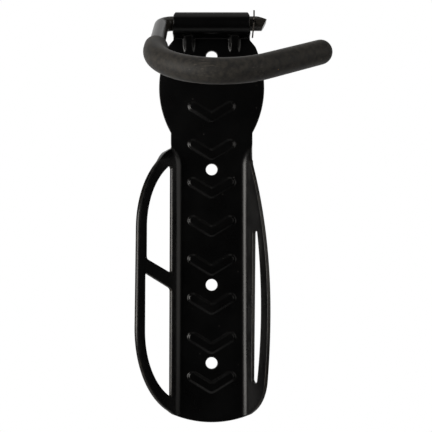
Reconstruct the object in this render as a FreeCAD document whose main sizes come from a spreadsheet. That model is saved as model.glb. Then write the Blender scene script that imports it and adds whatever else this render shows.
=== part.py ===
import FreeCAD, Part
import math
import os

import Sketcher

# Bicycle wall rack: a pressed steel backplate with two flared wings and a
# rolled barrel along its top, and a bent rod hook that turns in the barrel.
# The hook carries a closed rubber sleeve and is kept in by a split pin.
# Millimetres.  X runs across the rack, Y into the wall, Z up.  The wall is
# the plane Y = 0, and the origin is the wall end of the middle one of the
# three evenly spaced screw holes.

os.makedirs("parts", exist_ok=True)
doc = FreeCAD.newDocument("bicycle_wall_rack")

# ---------------------------------------------------------------- sizes ---
DRIVING = [
    # allowances of the outlines that cut
    ("overrun", 8.0, "how far a cutting outline runs past the metal"),
    ("overlap", 1.0, "how far two outlines overlap where they meet"),
    # sheet metal
    ("sheet", 2.5, "sheet thickness of the backplate"),
    ("flare", 55.0, "angle of the wings to the face, degrees"),
    ("flare_inside", 4.0, "inside radius of the bends to the wings"),
    ("face_half", 20.0, "half width of the flat face, up to the bends"),
    ("neck_half", 27.2, "half width of the neck"),
    # screw holes
    ("hole_step", 25.4, "module of the screw holes and of the grip ribs"),
    ("hole_bore", 3.8, "radius of the screw holes"),
    # head
    ("head_half", 35.1, "half width of the head at its widest"),
    ("head_level", 55.0, "height of the widest place of the head"),
    ("neck_level", 24.6, "height at which the head meets the neck"),
    ("left_neck_foot", 14.6, "height at which the neck's left edge ends"),
    ("right_neck_foot", 5.6, "height at which its right edge ends"),
    ("cheek_out", 35.3, "where the left wing's top corner ends, across"),
    ("cheek_level", 7.6, "height of that place"),
    ("cheek_turn", 30.0, "radius of the left wing's top corner"),
    ("shoulder_half", 29.4, "half width of the head at its shoulders"),
    ("shoulder_height", 82.6, "height of the head's shoulders"),
    # foot
    ("foot_low", -165.0, "lowest point of the face"),
    ("foot_side", -161.9, "height of the foot at the bends"),
    ("foot_extra", 5.0, "how far the foot's curve is drawn past the bends"),
    # crease at the top of each wing
    ("crease_turn", 18.0, "radius in which each crease runs out sideways"),
    ("crease_sweep", 62.0, "angle of that turn, degrees"),
    ("crease_top", 16.5, "height at which the crease meets the neck's edge"),
    ("turn_core", 1.0, "distance of the turned section from that turn's axis"),
    ("wing_top", 13.8, "height at which each wing leaves the neck"),
    # left wing, measured along the wing from the crease
    ("left_wide", 39.2, "width of the left wing, at its upper part"),
    ("left_low_wide", 39.8, "width of the left wing, at its lower part"),
    ("left_upper", -40.0, "height where its straight edge begins"),
    ("left_lower", -101.0, "height where its straight edge ends"),
    ("left_foot", 7.6, "width of the wing where its lower edge ends"),
    ("left_foot_level", -156.6, "height of that place"),
    ("rail", 6.0, "width of the rail between crease and windows"),
    ("upper_rim", 8.2, "width of the rim beside the upper window"),
    ("upper_window_turn", 48.0, "radius of that window's outer edge"),
    ("upper_window_side", -39.0, "height where that edge turns straight"),
    ("upper_window_tip", 8.4, "distance of the top of that window"),
    ("brace_rail_top", -68.6, "upper edge of the brace, at the rail"),
    ("brace_rim_top", -58.9, "upper edge of the brace, at the rim"),
    ("brace_rail_low", -78.5, "lower edge of the brace, at the rail"),
    ("brace_rim_low", -67.4, "lower edge of the brace, at the rim"),
    ("lower_rim", 7.6, "width of the rim beside the lower window"),
    ("lower_window_side", -103.0, "height where its outer edge turns in"),
    ("lower_window_foot", -148.0, "foot of the lower window, at the rail"),
    ("window_corner", 1.4, "rounding of the windows' corners"),
    # right wing, measured the same way
    ("right_wide", 23.2, "width of the right wing"),
    ("right_level", -89.0, "height of its widest place"),
    ("right_start", 6.1, "width of the wing where its top edge turns down"),
    ("right_start_level", 2.5, "height of that place"),
    ("right_corner", 20.0, "width of the wing above its lower corner"),
    ("right_corner_level", -137.0, "height of that place"),
    ("right_corner_turn", 29.0, "radius of the lower corner"),
    ("right_foot", 7.8, "width of the wing below its lower corner"),
    ("right_foot_level", -156.4, "height of that place"),
    ("right_rail_top", 8.3, "rail beside the right window, at its top"),
    ("right_rail_low", 6.4, "rail beside the right window, at its foot"),
    ("right_window_top", -42.0, "top of the right window"),
    ("right_window_foot", -137.0, "foot of the right window"),
    ("right_window_level", -88.0, "height of its widest place"),
    ("right_window_out", 16.0, "distance of its outer edge there"),
    ("right_window_head", 12.4, "distance of its outer edge at its top"),
    ("right_window_tail", 11.8, "distance of its outer edge at its foot"),
    ("window_end", 0.55, "radius of its ends, as a share of their width"),
    # rolled barrel and its flange
    ("tab_half", 25.7, "half width of the flange that carries the barrel"),
    ("barrel_half", 24.8, "half width of the barrel at its front"),
    ("barrel_crown_half", 23.4, "half width of the barrel at its crown"),
    ("flange_level", 88.4, "height of the underside of the flange"),
    ("flange_inside", 1.2, "inside radius of the bend to the flange"),
    ("hinge_forward", 10.1, "hinge axis, forward of the wall"),
    ("hinge_play", 0.05, "radial clearance of the rod in the barrel"),
    ("roll_end", 25.0, "angle of the free edge below the back, degrees"),
    # stiffening ribs in the corner below the flange
    ("gusset_out", 15.2, "distance of each stiffening rib from the middle"),
    ("gusset_wide", 7.0, "width of each stiffening rib"),
    ("gusset_deep", 6.0, "its reach along the flange"),
    ("gusset_tall", 10.0, "its reach down the head"),
    ("gusset_round", 1.8, "rounding of its long edges"),
    ("dent_wide", 3.4, "width of the dent behind each rib"),
    # grip ribs
    ("vee_count", 9, "number of V-shaped grip ribs"),
    ("vee_half", 11.9, "distance of a lobe's centre from the middle"),
    ("vee_drop", 7.3, "drop from the lobes to the middle of the V"),
    ("vee_below", 8.55, "drop from a screw hole to the V's lobes"),
    ("vee_band", 3.45, "half width of the V's band at its foot"),
    ("vee_proud", 1.2, "height of the V above the face"),
    ("vee_dent", 2.9, "half width of the dent behind the V"),
    ("vee_draft", 42.0, "slope of the V's sides, degrees"),
    # hook rod
    ("rod", 9.5, "diameter of the hook's rod"),
    ("tilt", 34.0, "droop of the hook below the horizontal, degrees"),
    ("leg_out", 32.7, "distance of the hook's leg from the middle"),
    ("elbow", 7.5, "radius of the bend from the barrel to the leg"),
    ("reach", 94.6, "reach of the hook from its axis"),
    ("bow_left", 37.6, "radius of the bow on the leg's side"),
    ("bow_right", 44.0, "radius of the bow on the tip's side"),
    ("bow_fall", 37.0, "angle by which the tip falls back, degrees"),
    ("rod_end", 61.0, "distance of the rod's end from the middle"),
    ("tail_end", 36.0, "distance of the tail's end from the middle"),
    ("tail_flat", 7.4, "length of the flat on the tail"),
    ("tail_drop", 3.3, "depth of the flat at the tail's end"),
    ("tail_slant", 3.2, "slant of the tail's end face"),
    # rubber sleeve
    ("sleeve", 14.4, "outer diameter of the sleeve"),
    ("sleeve_start", 51.0, "distance of the sleeve's mouth from the axis"),
    ("sleeve_lip", 1.2, "rounding of the sleeve's mouth"),
    ("sleeve_end", 63.6, "distance of the sleeve's round tip, its centre"),
    # split pin
    ("pin_out", 27.7, "distance of the pin from the middle"),
    ("pin_wire", 1.0, "thickness of each leg of the pin"),
    ("pin_gap", 0.1, "gap between the two legs in the hole"),
    ("pin_play", 0.15, "clearance of the pin in its hole"),
    ("pin_stand", 0.35, "gap between the bent legs and the rod"),
    ("pin_turn", 1.0, "radius in which the legs are bent over"),
    ("pin_up", 6.4, "reach of the upper leg"),
    ("pin_down", 10.8, "reach of the lower leg"),
    ("pin_lean", 6.0, "sideways lean of the lower leg, degrees"),
    ("pin_eye", 1.4, "radius of the eye, to the wire's middle"),
    ("pin_flare", 0.9, "radius in which the legs part into the eye"),
]

DERIVED = [
    # crease and bends
    ("bend_back", "flare_inside + sheet"),
    ("crease_half", "face_half + flare_inside * tan(flare / 2)"),
    ("crease_axis", "face_half + crease_turn"),
    ("crease_side", "crease_axis - neck_half"),
    ("crease_start", "crease_top - sqrt(crease_turn ^ 2 - crease_side ^ 2)"),
    ("foot_cut", "foot_low - overrun"),
    ("wing_depth", "crease_start - foot_cut"),
    # section of the wings; ahead is towards minus Y
    ("front_end_out", "face_half + flare_inside * sin(flare)"),
    ("front_end_ahead", "sheet + flare_inside * (1 - cos(flare))"),
    ("back_end_out", "face_half + bend_back * sin(flare)"),
    ("back_end_ahead", "bend_back * (1 - cos(flare))"),
    ("left_front_out", "front_end_out + left_low_wide * cos(flare)"),
    ("left_front_ahead", "front_end_ahead + left_low_wide * sin(flare)"),
    ("left_back_out", "back_end_out + left_low_wide * cos(flare)"),
    ("left_back_ahead", "back_end_ahead + left_low_wide * sin(flare)"),
    ("right_front_out", "front_end_out + right_wide * cos(flare)"),
    ("right_front_ahead", "front_end_ahead + right_wide * sin(flare)"),
    ("right_back_out", "back_end_out + right_wide * cos(flare)"),
    ("right_back_ahead", "back_end_ahead + right_wide * sin(flare)"),
    # section of the turned crease, measured from the axis of its turn
    ("turn_front_end", "crease_axis - front_end_out"),
    ("turn_back_end", "crease_axis - back_end_out"),
    ("turn_front_core",
     "front_end_ahead + (turn_front_end - turn_core) * tan(flare)"),
    ("turn_back_core",
     "back_end_ahead + (turn_back_end - turn_core) * tan(flare)"),
    # head and foot
    ("flange_bend", "flange_level - flange_inside"),
    ("head_upper_rise", "shoulder_height - head_level"),
    ("head_upper_in", "head_half - shoulder_half"),
    ("head_upper_turn",
     "(head_upper_rise ^ 2 + head_upper_in ^ 2) / (2 * head_upper_in)"),
    ("head_lower_fall", "head_level - neck_level"),
    ("head_lower_in", "head_half - neck_half"),
    ("head_lower_turn",
     "(head_lower_fall ^ 2 + head_lower_in ^ 2) / (2 * head_lower_in)"),
    ("foot_rise", "foot_side - foot_low"),
    ("foot_turn", "(face_half ^ 2 + foot_rise ^ 2) / (2 * foot_rise)"),
    ("foot_reach", "face_half + foot_extra"),
    ("foot_reach_level",
     "foot_low + foot_turn - sqrt(foot_turn ^ 2 - foot_reach ^ 2)"),
    ("foot_past", "foot_cut - overlap"),
    # wing outlines; distances along the wing count from the crease
    ("neck_along", "(neck_half - crease_half) * cos(flare)"),
    ("bend_along", "(face_half - crease_half) * cos(flare)"),
    ("waste_top", "neck_level - overlap"),
    ("left_waste", "left_low_wide + overrun"),
    ("right_waste", "right_wide + overrun"),
    ("left_top_in", "left_wide - neck_along"),
    ("left_top_rise", "wing_top - left_upper"),
    ("left_top_turn",
     "(left_top_rise ^ 2 + left_top_in ^ 2) / (2 * left_top_in)"),
    ("left_foot_in", "left_low_wide - left_foot"),
    ("left_foot_fall", "left_lower - left_foot_level"),
    ("left_foot_turn",
     "(left_foot_fall ^ 2 + left_foot_in ^ 2) / (2 * left_foot_in)"),
    ("upper_window_out", "left_wide - upper_rim"),
    ("upper_window_top",
     "upper_window_side + sqrt(upper_window_turn ^ 2"
     " - (upper_window_turn - upper_window_out + upper_window_tip) ^ 2)"),
    ("upper_tip_in", "upper_window_tip - rail"),
    ("upper_tip_low", "upper_window_top - upper_tip_in"),
    ("lower_window_out", "left_low_wide - lower_rim"),
    ("lower_window_in", "lower_window_out - rail"),
    ("lower_window_fall", "lower_window_side - lower_window_foot"),
    ("lower_window_turn",
     "(lower_window_fall ^ 2 + lower_window_in ^ 2) / (2 * lower_window_in)"),
    ("right_top_in", "right_wide - right_start"),
    ("right_top_rise", "right_start_level - right_level"),
    ("right_top_turn",
     "(right_top_rise ^ 2 + right_top_in ^ 2) / (2 * right_top_in)"),
    ("right_low_in", "right_wide - right_corner"),
    ("right_low_fall", "right_level - right_corner_level"),
    ("right_low_turn",
     "(right_low_fall ^ 2 + right_low_in ^ 2) / (2 * right_low_in)"),
    ("right_window_rise", "right_window_top - right_window_level"),
    ("right_window_in", "right_window_out - right_window_head"),
    ("right_window_upper_turn",
     "(right_window_rise ^ 2 + right_window_in ^ 2) / (2 * right_window_in)"),
    ("right_window_fall", "right_window_level - right_window_foot"),
    ("right_window_low_in", "right_window_out - right_window_tail"),
    ("right_window_lower_turn",
     "(right_window_fall ^ 2 + right_window_low_in ^ 2)"
     " / (2 * right_window_low_in)"),
    ("right_window_head_turn",
     "window_end * (right_window_head - right_rail_top)"),
    ("right_window_tail_turn",
     "window_end * (right_window_tail - right_rail_low)"),
    ("wing_cut", "sheet + 2 * overrun"),
    # barrel
    ("barrel_bore", "rod / 2 + hinge_play"),
    ("barrel_outer", "barrel_bore + sheet"),
    ("hinge_height", "flange_level + barrel_outer"),
    ("barrel_top", "hinge_height + barrel_outer"),
    ("bore_top", "hinge_height + barrel_bore"),
    ("flange_top", "flange_level + sheet"),
    ("flange_outside", "flange_inside + sheet"),
    ("bore_front", "hinge_forward + barrel_bore"),
    ("bore_back", "hinge_forward - barrel_bore"),
    ("barrel_front", "hinge_forward + barrel_outer"),
    ("barrel_back", "hinge_forward - barrel_outer"),
    ("free_outer_ahead", "hinge_forward - barrel_outer * cos(roll_end)"),
    ("free_outer_height", "hinge_height - barrel_outer * sin(roll_end)"),
    ("free_inner_ahead", "hinge_forward - barrel_bore * cos(roll_end)"),
    ("free_inner_height", "hinge_height - barrel_bore * sin(roll_end)"),
    ("tab_wide", "2 * tab_half"),
    ("trim_low", "hinge_height - barrel_outer / 4"),
    ("trim_high", "hinge_height + barrel_outer / 2"),
    ("trim_top", "barrel_top + overlap"),
    ("trim_out", "tab_half + overlap"),
    ("front_clear", "barrel_front + overrun"),
    # stiffening ribs and the dents behind them
    ("gusset_foot", "flange_level - gusset_tall"),
    ("gusset_ahead", "sheet + gusset_deep"),
    ("gusset_root", "sheet / 2"),
    ("gusset_roof", "flange_level + sheet / 2"),
    ("gusset_slope", "sqrt(gusset_tall ^ 2 + gusset_deep ^ 2)"),
    ("dent_foot",
     "gusset_foot + sheet * (gusset_slope - gusset_tall) / gusset_deep"),
    ("dent_over", "flange_top + overlap / 4"),
    ("dent_ahead", "(dent_over - dent_foot) * gusset_deep / gusset_tall"),
    ("dent_behind", "sheet / 2"),
    ("dent_behind_foot", "dent_foot - dent_behind * gusset_tall / gusset_deep"),
    # screw holes
    ("hole_high", "3 * hole_step"),
    ("hole_low", "-3 * hole_step"),
    ("hole_foot", "-5 * hole_step"),
    # grip ribs
    ("vee_slant", "sqrt(vee_half ^ 2 + vee_drop ^ 2)"),
    ("vee_centre", "3 * hole_step - vee_below"),
    ("vee_tip", "vee_centre - vee_drop"),
    ("vee_run", "(vee_count - 1) * hole_step"),
    # hook, measured across and outward from its axis
    ("leg_x", "-leg_out"),
    ("elbow_x", "elbow - leg_out"),
    ("bow_low", "reach - bow_left"),
    ("bow_x", "bow_left - leg_out"),
    ("bow_fall_x", "bow_x + bow_right * sin(bow_fall)"),
    ("bow_fall_out", "reach - bow_right * (1 - cos(bow_fall))"),
    ("rod_end_out", "bow_fall_out - (rod_end - bow_fall_x) * tan(bow_fall)"),
    ("sleeve_end_out",
     "bow_fall_out - (sleeve_end - bow_fall_x) * tan(bow_fall)"),
    ("rod_radius", "rod / 2"),
    ("sleeve_radius", "sleeve / 2"),
    ("mouth_ahead", "hinge_forward + sleeve_start * cos(tilt)"),
    ("mouth_level", "hinge_height - sleeve_start * sin(tilt)"),
    ("tip_x", "sleeve_end + sleeve_radius * cos(bow_fall)"),
    ("tip_out", "sleeve_end_out - sleeve_radius * sin(bow_fall)"),
    ("tip_side_x", "sleeve_end + sleeve_radius * sin(bow_fall)"),
    ("tip_side_out", "sleeve_end_out + sleeve_radius * cos(bow_fall)"),
    ("tail_top", "rod / 2 - tail_drop"),
    ("tail_flat_x", "tail_end - tail_flat"),
    ("tail_low_x", "tail_end - tail_slant"),
    ("tail_past", "tail_end + rod"),
    # split pin, measured from the hook's axis
    ("pin_radius", "pin_wire / 2"),
    ("pin_strand", "(pin_wire + pin_gap) / 2"),
    ("pin_hole", "pin_wire + pin_gap / 2 + pin_play"),
    ("pin_front", "rod / 2 + pin_stand + pin_wire / 2"),
    ("pin_bend_start", "pin_front - pin_turn"),
    ("pin_back", "rod / 2 + pin_stand + pin_wire / 2"),
    ("pin_bend_ahead", "hinge_forward + pin_bend_start"),
    ("strand_high", "hinge_height + pin_strand"),
    ("strand_low", "hinge_height - pin_strand"),
    ("loop_cosine", "(pin_strand + pin_flare) / (pin_eye + pin_flare)"),
    ("loop_sine", "sqrt(1 - loop_cosine ^ 2)"),
    ("loop_start", "pin_back + pin_flare * loop_sine"),
    ("loop_lift", "pin_strand + pin_flare * (1 - loop_cosine)"),
    ("loop_middle", "pin_back + (pin_eye + pin_flare) * loop_sine"),
    ("loop_end", "loop_middle + pin_eye"),
    ("pin_hole_front", "hinge_forward + rod"),
]

# the V's outline follows its band; the dent behind it is a narrower band
for band in ("vee_band", "vee_dent"):
    DERIVED += [
        (band + "_in", f"{band} * vee_drop / vee_slant"),
        (band + "_up", f"{band} * vee_half / vee_slant"),
        (band + "_notch", f"vee_tip + {band} * vee_slant / vee_half"),
        (band + "_foot_out", f"{band}_in"),
        (band + "_foot_level", f"vee_tip - {band}_up"),
        (band + "_low_out", f"vee_half + {band}_in"),
        (band + "_low_level", f"vee_centre - {band}_up"),
        (band + "_end_out", f"vee_half + {band}_up"),
        (band + "_end_level", f"vee_centre + {band}_in"),
        (band + "_top_out", f"vee_half - {band}_in"),
        (band + "_top_level", f"vee_centre + {band}_up"),
    ]

sizes = doc.addObject("Spreadsheet::Sheet", "Sizes")
for row, (alias, value, note) in enumerate(DRIVING, 1):
    sizes.set(f"A{row}", note)
    sizes.set(f"B{row}", str(value))
    sizes.setAlias(f"B{row}", alias)
for row, (alias, formula) in enumerate(DERIVED, len(DRIVING) + 1):
    sizes.set(f"B{row}", "=" + formula)
    sizes.setAlias(f"B{row}", alias)
doc.recompute()


# -------------------------------------------------------------- helpers ---
def size(name):
    """Value of a size, of its negative as '-name', or of 0."""
    if name == 0:
        return 0.0
    if name.startswith("-"):
        return -float(sizes.get(name[1:]))
    return float(sizes.get(name))


def cell(name, unit="mm"):
    """The same value as an expression for setExpression."""
    if name.startswith("-"):
        return f"-Sizes.{name[1:]} * 1 {unit}"
    return f"Sizes.{name} * 1 {unit}"


def origin_part(body, role):
    """An origin plane or axis of a body."""
    return [f for f in body.Origin.OriginFeatures if f.Role == role][0]


def new_body(label):
    body = doc.addObject("PartDesign::Body", label)
    body.Label = label
    return body


def new_sketch(body, name, role, offset=(0, 0, 0), turn=None):
    """A sketch on an origin plane, moved by sizes along its own axes.

    turn is an axis and an expression: the sketch is turned about it."""
    sketch = body.newObject("Sketcher::SketchObject", name)
    sketch.AttachmentSupport = [(origin_part(body, role), "")]
    sketch.MapMode = "FlatFace"
    if turn:
        sketch.AttachmentOffset = FreeCAD.Placement(
            FreeCAD.Vector(), FreeCAD.Rotation(turn[0], 1))
        sketch.setExpression(".AttachmentOffset.Rotation.Angle", turn[1])
    for axis, alias in zip("xyz", offset):
        if alias != 0:
            sketch.setExpression(f".AttachmentOffset.Base.{axis}", cell(alias))
    return sketch


def hold_point(sketch, index, which, x, y):
    """Hold one point of a sketch at two sizes."""
    for kind, value, axis in (("DistanceX", x, -2), ("DistanceY", y, -1)):
        if value == 0:
            sketch.addConstraint(
                Sketcher.Constraint("PointOnObject", index, which, axis))
            continue
        number = sketch.addConstraint(Sketcher.Constraint(
            kind, -1, 1, index, which, size(value)))
        sketch.setExpression(f"Constraints[{number}]", cell(value))


def hold_radius(sketch, index, radius):
    number = sketch.addConstraint(
        Sketcher.Constraint("Radius", index, size(radius)))
    sketch.setExpression(f"Constraints[{number}]", cell(radius))


def arc_between(start, end, radius, turn):
    """The shorter arc from start to end, turning left or right."""
    chord = end - start
    rise = math.sqrt(max(radius ** 2 - (chord.Length / 2) ** 2, 0))
    side = FreeCAD.Vector(-chord.y, chord.x, 0).normalize()
    if turn == "right":
        side = side * -1
    centre = (start + end) / 2 + side * rise
    first, last = (start, end) if turn == "left" else (end, start)
    circle = Part.Circle(centre, FreeCAD.Vector(0, 0, 1), radius)
    return Part.ArcOfCircle(circle,
                            math.atan2(first.y - centre.y, first.x - centre.x),
                            math.atan2(last.y - centre.y, last.x - centre.x))


def draw(sketch, corners, closed=True):
    """Lines and arcs through corners (x, y) or (x, y, radius, turn).

    radius and turn belong to the arc that leaves that corner."""
    points = [FreeCAD.Vector(size(c[0]), size(c[1]), 0) for c in corners]
    count = len(corners) if closed else len(corners) - 1
    edges = []
    for i in range(count):
        start = points[i]
        end = points[(i + 1) % len(points)]
        if len(corners[i]) == 2:
            index = sketch.addGeometry(Part.LineSegment(start, end))
            edges.append((index, 1, 2))
            continue
        radius, turn = corners[i][2:]
        index = sketch.addGeometry(
            arc_between(start, end, size(radius), turn))
        edges.append((index, 1, 2) if turn == "left" else (index, 2, 1))
        hold_radius(sketch, index, radius)
    for i in range(count):
        index, first, last = edges[i]
        hold_point(sketch, index, first, corners[i][0], corners[i][1])
        if closed or i + 1 < count:
            following = edges[(i + 1) % count]
            sketch.addConstraint(Sketcher.Constraint(
                "Coincident", index, last, following[0], following[1]))
    if not closed:
        index, first, last = edges[-1]
        hold_point(sketch, index, last, corners[-1][0], corners[-1][1])


def draw_circle(sketch, x, y, radius):
    centre = FreeCAD.Vector(size(x), size(y), 0)
    index = sketch.addGeometry(
        Part.Circle(centre, FreeCAD.Vector(0, 0, 1), size(radius)))
    hold_point(sketch, index, 3, x, y)
    hold_radius(sketch, index, radius)


def opposite(name):
    if name == 0:
        return 0
    return name[1:] if name.startswith("-") else "-" + name


def side_of(side, corners):
    """Corners drawn for the right, mirrored when side is 'left'."""
    if side == "right":
        return corners
    other = {"left": "right", "right": "left"}
    flipped = []
    for corner in corners:
        arc = (corner[2], other[corner[3]]) if len(corner) > 2 else ()
        flipped.append((opposite(corner[0]), corner[1]) + arc)
    return flipped


def sweep_feature(body, kind, name, sketch, settings):
    """Add a pad, pocket or revolution with expressions in its settings."""
    feature = body.newObject("PartDesign::" + kind, name)
    feature.Profile = sketch
    for key, value in settings.items():
        if isinstance(value, str) and value.startswith("="):
            feature.setExpression(key, value[1:])
        else:
            setattr(feature, key, value)
    doc.recompute()
    return feature


def pad(body, name, sketch, length, **more):
    return sweep_feature(body, "Pad", name, sketch,
                         {"Length": "=" + cell(length), **more})


def pocket(body, name, sketch, **more):
    """A cut, which must take something away."""
    before = body.Shape.Volume
    feature = sweep_feature(body, "Pocket", name, sketch, more)
    assert body.Shape.Volume < before - 0.01, f"{name} cuts nothing"
    return feature


def pipe(body, kind, name, profile, spine):
    feature = body.newObject("PartDesign::" + kind, name)
    feature.Profile = profile
    feature.Spine = (spine, [])
    feature.Mode = "Standard"
    doc.recompute()
    return feature


def round_edges(body, name, radius, wanted):
    """Round the edges of the body that wanted() accepts."""
    last = body.Tip
    names = [f"Edge{number}" for number, edge
             in enumerate(last.Shape.Edges, 1) if wanted(edge)]
    assert names, f"{name} finds no edge"
    feature = body.newObject("PartDesign::Fillet", name)
    feature.Base = (last, names)
    feature.setExpression("Radius", cell(radius))
    doc.recompute()
    return feature


def straight_along(edge, direction):
    """Whether an edge is a straight line along a direction."""
    if edge.Curve.TypeId != "Part::GeomLine":
        return False
    return abs(edge.Curve.Direction.dot(direction)) > 0.999


# ------------------------------------------------------------ backplate ---
def add_face(body):
    """Head, neck and flat face, with a plain strip below the neck."""
    sketch = new_sketch(body, "face_sketch", "XZ_Plane")
    draw(sketch, [
        ("tab_half", "flange_bend"),
        ("shoulder_half", "shoulder_height", "head_upper_turn", "right"),
        ("head_half", "head_level", "head_lower_turn", "right"),
        ("neck_half", "neck_level"),
        ("neck_half", "crease_top", "crease_turn", "left"),
        ("face_half", "crease_start"),
        ("face_half", "foot_cut"),
        ("-face_half", "foot_cut"),
        ("-face_half", "crease_start", "crease_turn", "left"),
        ("-neck_half", "crease_top"),
        ("-neck_half", "neck_level", "head_lower_turn", "right"),
        ("-head_half", "head_level", "head_upper_turn", "right"),
        ("-shoulder_half", "shoulder_height"),
        ("-tab_half", "flange_bend"),
    ])
    pad(body, "face", sketch, "sheet")


def add_wing(body, side):
    """Bend and wing below the neck, and the crease that turns sideways."""
    section = new_sketch(body, side + "_wing_section", "XY_Plane",
                         (0, 0, "crease_start"))
    draw(section, side_of(side, [
        ("face_half", 0, "bend_back", "right"),
        ("back_end_out", "-back_end_ahead"),
        (side + "_back_out", f"-{side}_back_ahead"),
        (side + "_front_out", f"-{side}_front_ahead"),
        ("front_end_out", "-front_end_ahead", "flare_inside", "left"),
        ("face_half", "-sheet"),
    ]))
    pad(body, side + "_wing", section, "wing_depth", Reversed=True)
    axis = "crease_axis" if side == "right" else "-crease_axis"
    turn = new_sketch(body, side + "_crease_section", "XY_Plane",
                      (axis, 0, "crease_start"))
    draw(turn, side_of(side, [
        ("-crease_turn", 0, "bend_back", "right"),
        ("-turn_back_end", "-back_end_ahead"),
        ("-turn_core", "-turn_back_core"),
        ("-turn_core", "-turn_front_core"),
        ("-turn_front_end", "-front_end_ahead", "flare_inside", "left"),
        ("-crease_turn", "-sheet"),
    ]))
    sweep_feature(body, "Revolution", side + "_crease", turn, {
        "ReferenceAxis": (turn, ["V_Axis"]),
        "Angle": "=" + cell("crease_sweep", "deg"),
        "Reversed": side == "left",
    })


def wing_sketch(body, side, name):
    """A sketch on the front of a wing: x from the crease, y is height."""
    if side == "right":
        return new_sketch(body, name, "XZ_Plane", ("crease_half", 0, "sheet"),
                          (FreeCAD.Vector(0, 1, 0), "-" + cell("flare", "deg")))
    return new_sketch(body, name, "XZ_Plane", ("-crease_half", 0, "sheet"),
                      (FreeCAD.Vector(0, 1, 0), cell("flare", "deg")))


def cut_wing(body, side, name, corners):
    sketch = wing_sketch(body, side, name + "_sketch")
    draw(sketch, side_of(side, corners))
    pocket(body, name, sketch, SideType="Symmetric",
           Length="=" + cell("wing_cut"))


def shape_left_wing(body):
    cut_wing(body, "left", "left_outline", [
        ("neck_along", "waste_top"),
        ("neck_along", "wing_top", "left_top_turn", "right"),
        ("left_wide", "left_upper"),
        ("left_low_wide", "left_lower", "left_foot_turn", "right"),
        ("left_foot", "left_foot_level", "foot_turn", "right"),
        ("bend_along", "foot_side"),
        ("bend_along", "foot_past"),
        ("left_waste", "foot_past"),
        ("left_waste", "waste_top"),
    ])
    cut_wing(body, "left", "upper_window", [
        ("rail", "upper_tip_low", "upper_tip_in", "right"),
        ("upper_window_tip", "upper_window_top", "upper_window_turn",
         "right"),
        ("upper_window_out", "upper_window_side"),
        ("upper_window_out", "brace_rim_top"),
        ("rail", "brace_rail_top"),
    ])
    cut_wing(body, "left", "lower_window", [
        ("rail", "brace_rail_low"),
        ("lower_window_out", "brace_rim_low"),
        ("lower_window_out", "lower_window_side", "lower_window_turn",
         "right"),
        ("rail", "lower_window_foot"),
    ])


def shape_right_wing(body):
    cut_wing(body, "right", "right_outline", [
        ("neck_along", "waste_top"),
        ("neck_along", "wing_top"),
        ("right_start", "right_start_level", "right_top_turn", "right"),
        ("right_wide", "right_level", "right_low_turn", "right"),
        ("right_corner", "right_corner_level", "right_corner_turn", "right"),
        ("right_foot", "right_foot_level", "foot_turn", "right"),
        ("bend_along", "foot_side"),
        ("bend_along", "foot_past"),
        ("right_waste", "foot_past"),
        ("right_waste", "waste_top"),
    ])
    cut_wing(body, "right", "right_window", [
        ("right_rail_top", "right_window_top", "right_window_head_turn",
         "right"),
        ("right_window_head", "right_window_top", "right_window_upper_turn",
         "right"),
        ("right_window_out", "right_window_level", "right_window_lower_turn",
         "right"),
        ("right_window_tail", "right_window_foot", "right_window_tail_turn",
         "right"),
        ("right_rail_low", "right_window_foot"),
    ])


def trim_neck(body):
    """Straight sides of the neck, down to the wings."""
    sketch = new_sketch(body, "neck_sketch", "XZ_Plane", (0, 0, "front_clear"))
    draw(sketch, side_of("left", [
        ("neck_half", "waste_top"),
        ("neck_half", "left_neck_foot", "cheek_turn", "right"),
        ("cheek_out", "cheek_level"),
        ("cheek_out", "waste_top"),
    ]))
    draw(sketch, [
        ("neck_half", "waste_top"),
        ("neck_half", "right_neck_foot"),
        ("crease_axis", "right_neck_foot"),
        ("crease_axis", "waste_top"),
    ])
    pocket(body, "neck", sketch, Type="ThroughAll")


def shape_foot(body):
    """Curved foot between the two wings."""
    sketch = new_sketch(body, "foot_sketch", "XZ_Plane", (0, 0, "front_clear"))
    draw(sketch, [
        ("-foot_reach", "foot_reach_level", "foot_turn", "left"),
        (0, "foot_low", "foot_turn", "left"),
        ("foot_reach", "foot_reach_level"),
        ("foot_reach", "foot_past"),
        ("-foot_reach", "foot_past"),
    ])
    pocket(body, "foot", sketch, Type="ThroughAll")


def round_windows(body):
    """Round the corners of the two windows in the left wing."""
    flare = math.radians(size("flare"))
    across = FreeCAD.Vector(-math.sin(flare), math.cos(flare), 0)
    inward = size("crease_half") + (size("rail") - 1) * math.cos(flare)
    outward = (size("crease_half")
               + (size("lower_window_out") + 1.5) * math.cos(flare))

    def corner(edge):
        if not straight_along(edge, across):
            return False
        middle = edge.CenterOfMass
        level = size("upper_window_side") - 1 > middle.z
        return (inward < -middle.x < outward and level
                and middle.z > size("lower_window_foot") - 1)

    round_edges(body, "window_corners", "window_corner", corner)


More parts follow.
